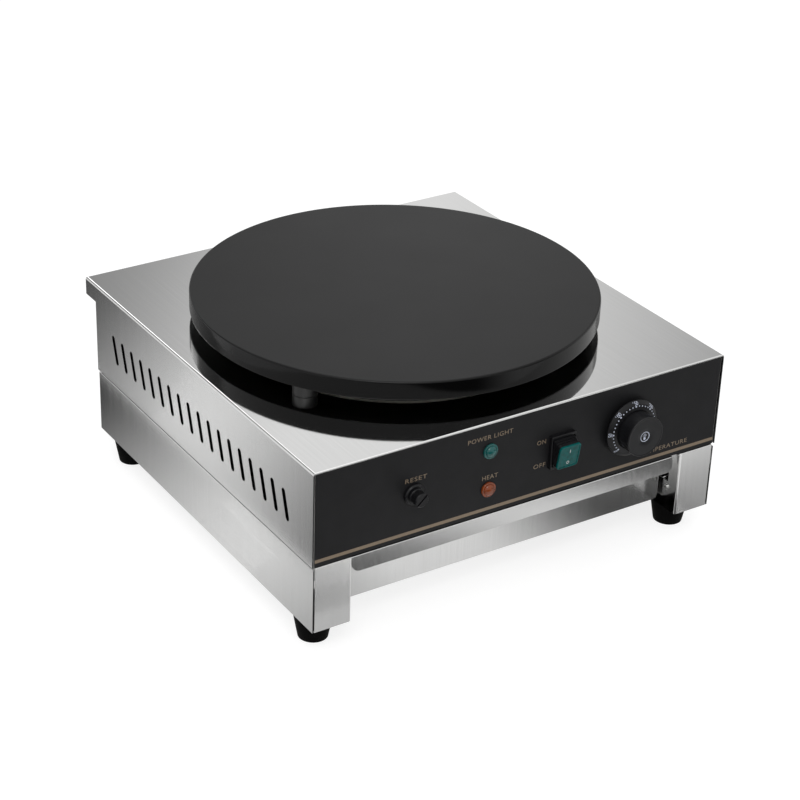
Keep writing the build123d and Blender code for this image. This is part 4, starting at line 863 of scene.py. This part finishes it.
def lay_floor(look):
    """A wide pale floor that stays white to the camera except where the machine shades it."""
    half = 6.0
    points = [(-half, -half, 0), (half, -half, 0), (half, half, 0), (-half, half, 0)]
    mesh = bpy.data.meshes.new("floor")
    mesh.from_pydata(points, [], [(0, 1, 2, 3)])
    floor = bpy.data.objects.new("floor", mesh)
    bpy.context.scene.collection.objects.link(floor)
    material, tree, main = shader("floor_paper", (look.floor,) * 3, 0.9)
    main.inputs["Specular IOR Level"].default_value = 0.0
    rays = tree.nodes.new("ShaderNodeLightPath")
    tint(tree, (look.floor,) * 3, spread(tree, rays.outputs["Is Camera Ray"], 1.0, 0.45, 0.0, 1.0), main)
    seen, mirrored = 0.80, 0.40
    level = combine(tree, "MULTIPLY_ADD", rays.outputs["Is Camera Ray"], seen,
                    combine(tree, "MULTIPLY", indirect(tree, rays), mirrored))
    glow = tree.nodes.new("ShaderNodeEmission")
    add = tree.nodes.new("ShaderNodeAddShader")
    tree.links.new(level, glow.inputs["Strength"])
    tree.links.new(main.outputs["BSDF"], add.inputs[0])
    tree.links.new(glow.outputs["Emission"], add.inputs[1])
    tree.links.new(add.outputs["Shader"], tree.nodes["Material Output"].inputs["Surface"])
    mesh.materials.append(material)


def indirect(tree, rays):
    """One where a ray comes by way of a reflection or through a clear piece, else nought."""
    return combine(tree, "MAXIMUM", rays.outputs["Is Glossy Ray"], rays.outputs["Is Transmission Ray"])


def light_world(look):
    """An even pale light all round, white to the camera and in reflections."""
    world = bpy.data.worlds.new("studio")
    bpy.context.scene.world = world
    world.use_nodes = True
    tree = world.node_tree
    ground = tree.nodes["Background"]
    rays = tree.nodes.new("ShaderNodeLightPath")
    seen = combine(tree, "MAXIMUM", rays.outputs["Is Camera Ray"], indirect(tree, rays))
    choose = tree.nodes.new("ShaderNodeMix")
    choose.inputs["A"].default_value = look.world
    choose.inputs["B"].default_value = 1.0
    tree.links.new(seen, choose.inputs["Factor"])
    tree.links.new(choose.outputs["Result"], ground.inputs["Strength"])
    ground.inputs["Color"].default_value = (1, 1, 1, 1)


def hang_lamp(name, place, aim, wide, tall, power):
    """A soft rectangular lamp at a place, facing a point."""
    light = bpy.data.lights.new(name, "AREA")
    light.shape = "RECTANGLE"
    light.size, light.size_y = wide, tall
    light.energy = power
    lamp = bpy.data.objects.new(name, light)
    bpy.context.scene.collection.objects.link(lamp)
    lamp.location = place
    lamp.rotation_euler = (Vector(aim) - Vector(place)).to_track_quat("-Z", "Y").to_euler()


# Cards that only reflections see: name, a corner, the edge across, the edge along (metres), level of
# grey, and the shares of the card over which it fades in and out across, then in and out along. The
# cards laid on the floor are painted shade on the floor, under, beside and in front of the machine;
# the top cards hung high are grey, and the bend card, also hung, glows brighter than white.
CARDS = (
    ("base_rear", (-0.299, -0.045, 0.002), (0.079, -0.030, 0), (0, 0.90, 0), 0.06, (0.015, 0.1, 0.46, 0.1)),
    ("base_front", (-0.299, -0.60, 0.002), (0.079, -0.030, 0), (0, 0.66, 0), 0.30, (0.015, 0.1, 0.1, 0.56)),
    ("side_rear", (-0.299, 0.062, 0.003), (-0.25, 0.235, 0), (0, 1.10, 0), 0.10, (0.01, 0.2, 0.42, 0.1)),
    ("side_front", (-0.299, -0.75, 0.003), (-0.25, 0.235, 0), (0, 0.992, 0), 0.08, (0.01, 0.2, 0.1, 0.46)),
    ("top_left", (-1.6, 2.6, 0.5), (3.8, 0, 0), (-1.3, 0, 2.6), 0.33, (0.1, 0.27, 0.1, 0.1)),
    ("top_right", (1.65, 2.6, 0.5), (4.2, 0, 0), (0, 0, 2.6), 0.33, (0.46, 0.1, 0.1, 0.1)),
    ("bend", (-0.36, 1.90, 1.12), (0.72, 0, 0), (0, 0, 1.1), 3.0, (0.2, 0.2, 0.1, 0.1)),
    ("lip_left", (-1.30, -1.6, 0.002), (1.60, 0, 0), (0, 1.2, 0), 0.03, (0.1, 0.158, 0.1, 0.1)),
    ("lip_right", (0.29, -1.6, 0.002), (1.5, 0, 0), (0, 1.2, 0), 0.06, (0.11, 0.1, 0.1, 0.1)),
    ("drawer_left", (-0.40, -0.345, 0.002), (0.34, 0, 0), (0, 0.085, 0), 0.12, (0.1, 0.4, 0.1, 0.2)),
    ("drawer_right", (0.000, -0.300, 0.002), (0.265, 0, 0), (0, 0.095, 0), 0.10, (0.62, 0.20, 0.3, 0.1)),
    ("leg_right", (0.215, -0.42, 0.002), (0.25, 0, 0), (0, 0.215, 0), 0.42, (0.08, 0.1, 0.84, 0.1)),
    # painted shadow under the machine: black to reflections
    ("leg_inner", (0.020, -0.195, 0.002), (0.160, 0, 0), (0, 0.26, 0), 0.0, (0.05, 0.05, 0.02, 0.1)),
    ("leg_left", (-0.27, -0.42, 0.002), (0.200, 0, 0), (0, 0.215, 0), 0.65, (0.1, 0.4, 0.85, 0.1)),
)


def hang_card(name, corner, across, along, level, fades):
    """A grey card with soft edges, seen by reflections only.

    A point lies at the corner plus u times the edge across plus v times the edge along. The card's cover
    is the product of four smooth ramps: u and v over their first shares, 1 - u and 1 - v over their last.
    """
    u = np.array([0, 1, 1, 0.0])
    v = np.array([0, 0, 1, 1.0])
    points = np.array(corner) + u[:, None] * np.array(across) + v[:, None] * np.array(along)
    mesh = bpy.data.meshes.new(name)
    mesh.from_pydata(points.tolist(), [], [(0, 1, 2, 3)])
    layer = mesh.uv_layers.new(name="cover")
    layer.data.foreach_set("uv", np.stack([u, v], axis=1).ravel())
    card = bpy.data.objects.new(name, mesh)
    bpy.context.scene.collection.objects.link(card)
    card.visible_camera = card.visible_diffuse = card.visible_shadow = card.visible_transmission = False
    material = bpy.data.materials.new(name)
    material.use_nodes = True
    tree = material.node_tree
    tree.nodes.remove(tree.nodes["Principled BSDF"])
    where = tree.nodes.new("ShaderNodeUVMap")
    where.uv_map = "cover"
    split = tree.nodes.new("ShaderNodeSeparateXYZ")
    tree.links.new(where.outputs["UV"], split.inputs["Vector"])
    cover = None
    for axis, first, last in (("X", 0.0, fades[0]), ("X", 1.0, 1 - fades[1]), ("Y", 0.0, fades[2]),
                              ("Y", 1.0, 1 - fades[3])):
        ramp = tree.nodes.new("ShaderNodeMapRange")
        ramp.interpolation_type = "SMOOTHSTEP"
        ramp.inputs["From Min"].default_value = first
        ramp.inputs["From Max"].default_value = last
        tree.links.new(split.outputs[axis], ramp.inputs["Value"])
        if cover is None:
            cover = ramp.outputs["Result"]
            continue
        cover = combine(tree, "MULTIPLY", cover, ramp.outputs["Result"])
    clear = tree.nodes.new("ShaderNodeBsdfTransparent")
    grey = tree.nodes.new("ShaderNodeEmission")
    grey.inputs["Strength"].default_value = level
    mix = tree.nodes.new("ShaderNodeMixShader")
    tree.links.new(cover, mix.inputs["Fac"])
    tree.links.new(clear.outputs["BSDF"], mix.inputs[1])
    tree.links.new(grey.outputs["Emission"], mix.inputs[2])
    tree.links.new(mix.outputs["Shader"], tree.nodes["Material Output"].inputs["Surface"])
    mesh.materials.append(material)


def aim_camera(look):
    """Place the camera from its azimuth, elevation, roll and distance round the point it looks at.

    The line back from the point is sine and cosine of the azimuth, laid down by the elevation; right is
    level, up is the product of both, and the roll turns right and up about the line.
    """
    target = Vector((-0.23269, FRONT + 0.06944, 0.26606))
    a, e, r = look.azimuth, look.height, look.roll
    back = Vector((math.sin(a) * math.cos(e), -math.cos(a) * math.cos(e), math.sin(e)))
    level = Vector((math.cos(a), math.sin(a), 0))
    rise = back.cross(level)
    right = level * math.cos(r) + rise * math.sin(r)
    up = rise * math.cos(r) - level * math.sin(r)
    data = bpy.data.cameras.new("camera")
    data.sensor_width = 36.0
    data.lens = look.lens
    data.shift_x, data.shift_y = look.shift_right, look.shift_up
    data.clip_end = 50.0
    camera = bpy.data.objects.new("camera", data)
    bpy.context.scene.collection.objects.link(camera)
    turn = Matrix((right, up, back)).transposed().to_4x4()
    camera.matrix_world = Matrix.Translation(target + back * look.distance) @ turn
    bpy.context.scene.camera = camera
    bpy.context.scene.view_settings.view_transform = "Standard"


# ------------------------------------------------------------------ panel and registration
OPERATORS = (CREPE_OT_finishes, CREPE_OT_plate, CREPE_OT_posts_and_feet, CREPE_OT_knob, CREPE_OT_lamps,
             CREPE_OT_printing, CREPE_OT_stage)
SETTINGS = (
    ("crepe_steel", SteelSettings), ("crepe_plate", PlateSettings), ("crepe_foot", FootSettings),
    ("crepe_control", ControlSettings), ("crepe_print", PrintSettings), ("crepe_stage", StageSettings),
)


class VIEW3D_PT_crepe_maker(bpy.types.Panel):
    """Lists the crepe maker's settings and pieces"""
    bl_label = "Crepe Maker"
    bl_space_type = "VIEW_3D"
    bl_region_type = "UI"
    bl_category = "Crepe Maker"

    def draw(self, context):
        for key, group in SETTINGS:
            box = self.layout.box()
            for name in group.__annotations__:
                box.prop(getattr(context.scene, key), name)
        for operator in OPERATORS:
            self.layout.operator(operator.bl_idname)


def register():
    for key, group in SETTINGS:
        bpy.utils.register_class(group)
        setattr(bpy.types.Scene, key, PointerProperty(type=group))
    for operator in OPERATORS:
        bpy.utils.register_class(operator)
    bpy.utils.register_class(VIEW3D_PT_crepe_maker)


def unregister():
    bpy.utils.unregister_class(VIEW3D_PT_crepe_maker)
    for operator in reversed(OPERATORS):
        bpy.utils.unregister_class(operator)
    for key, group in reversed(SETTINGS):
        delattr(bpy.types.Scene, key)
        bpy.utils.unregister_class(group)


def main():
    register()
    for operator in OPERATORS:
        group, name = operator.bl_idname.split(".")
        getattr(getattr(bpy.ops, group), name)()
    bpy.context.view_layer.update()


if __name__ == "__main__":
    main()
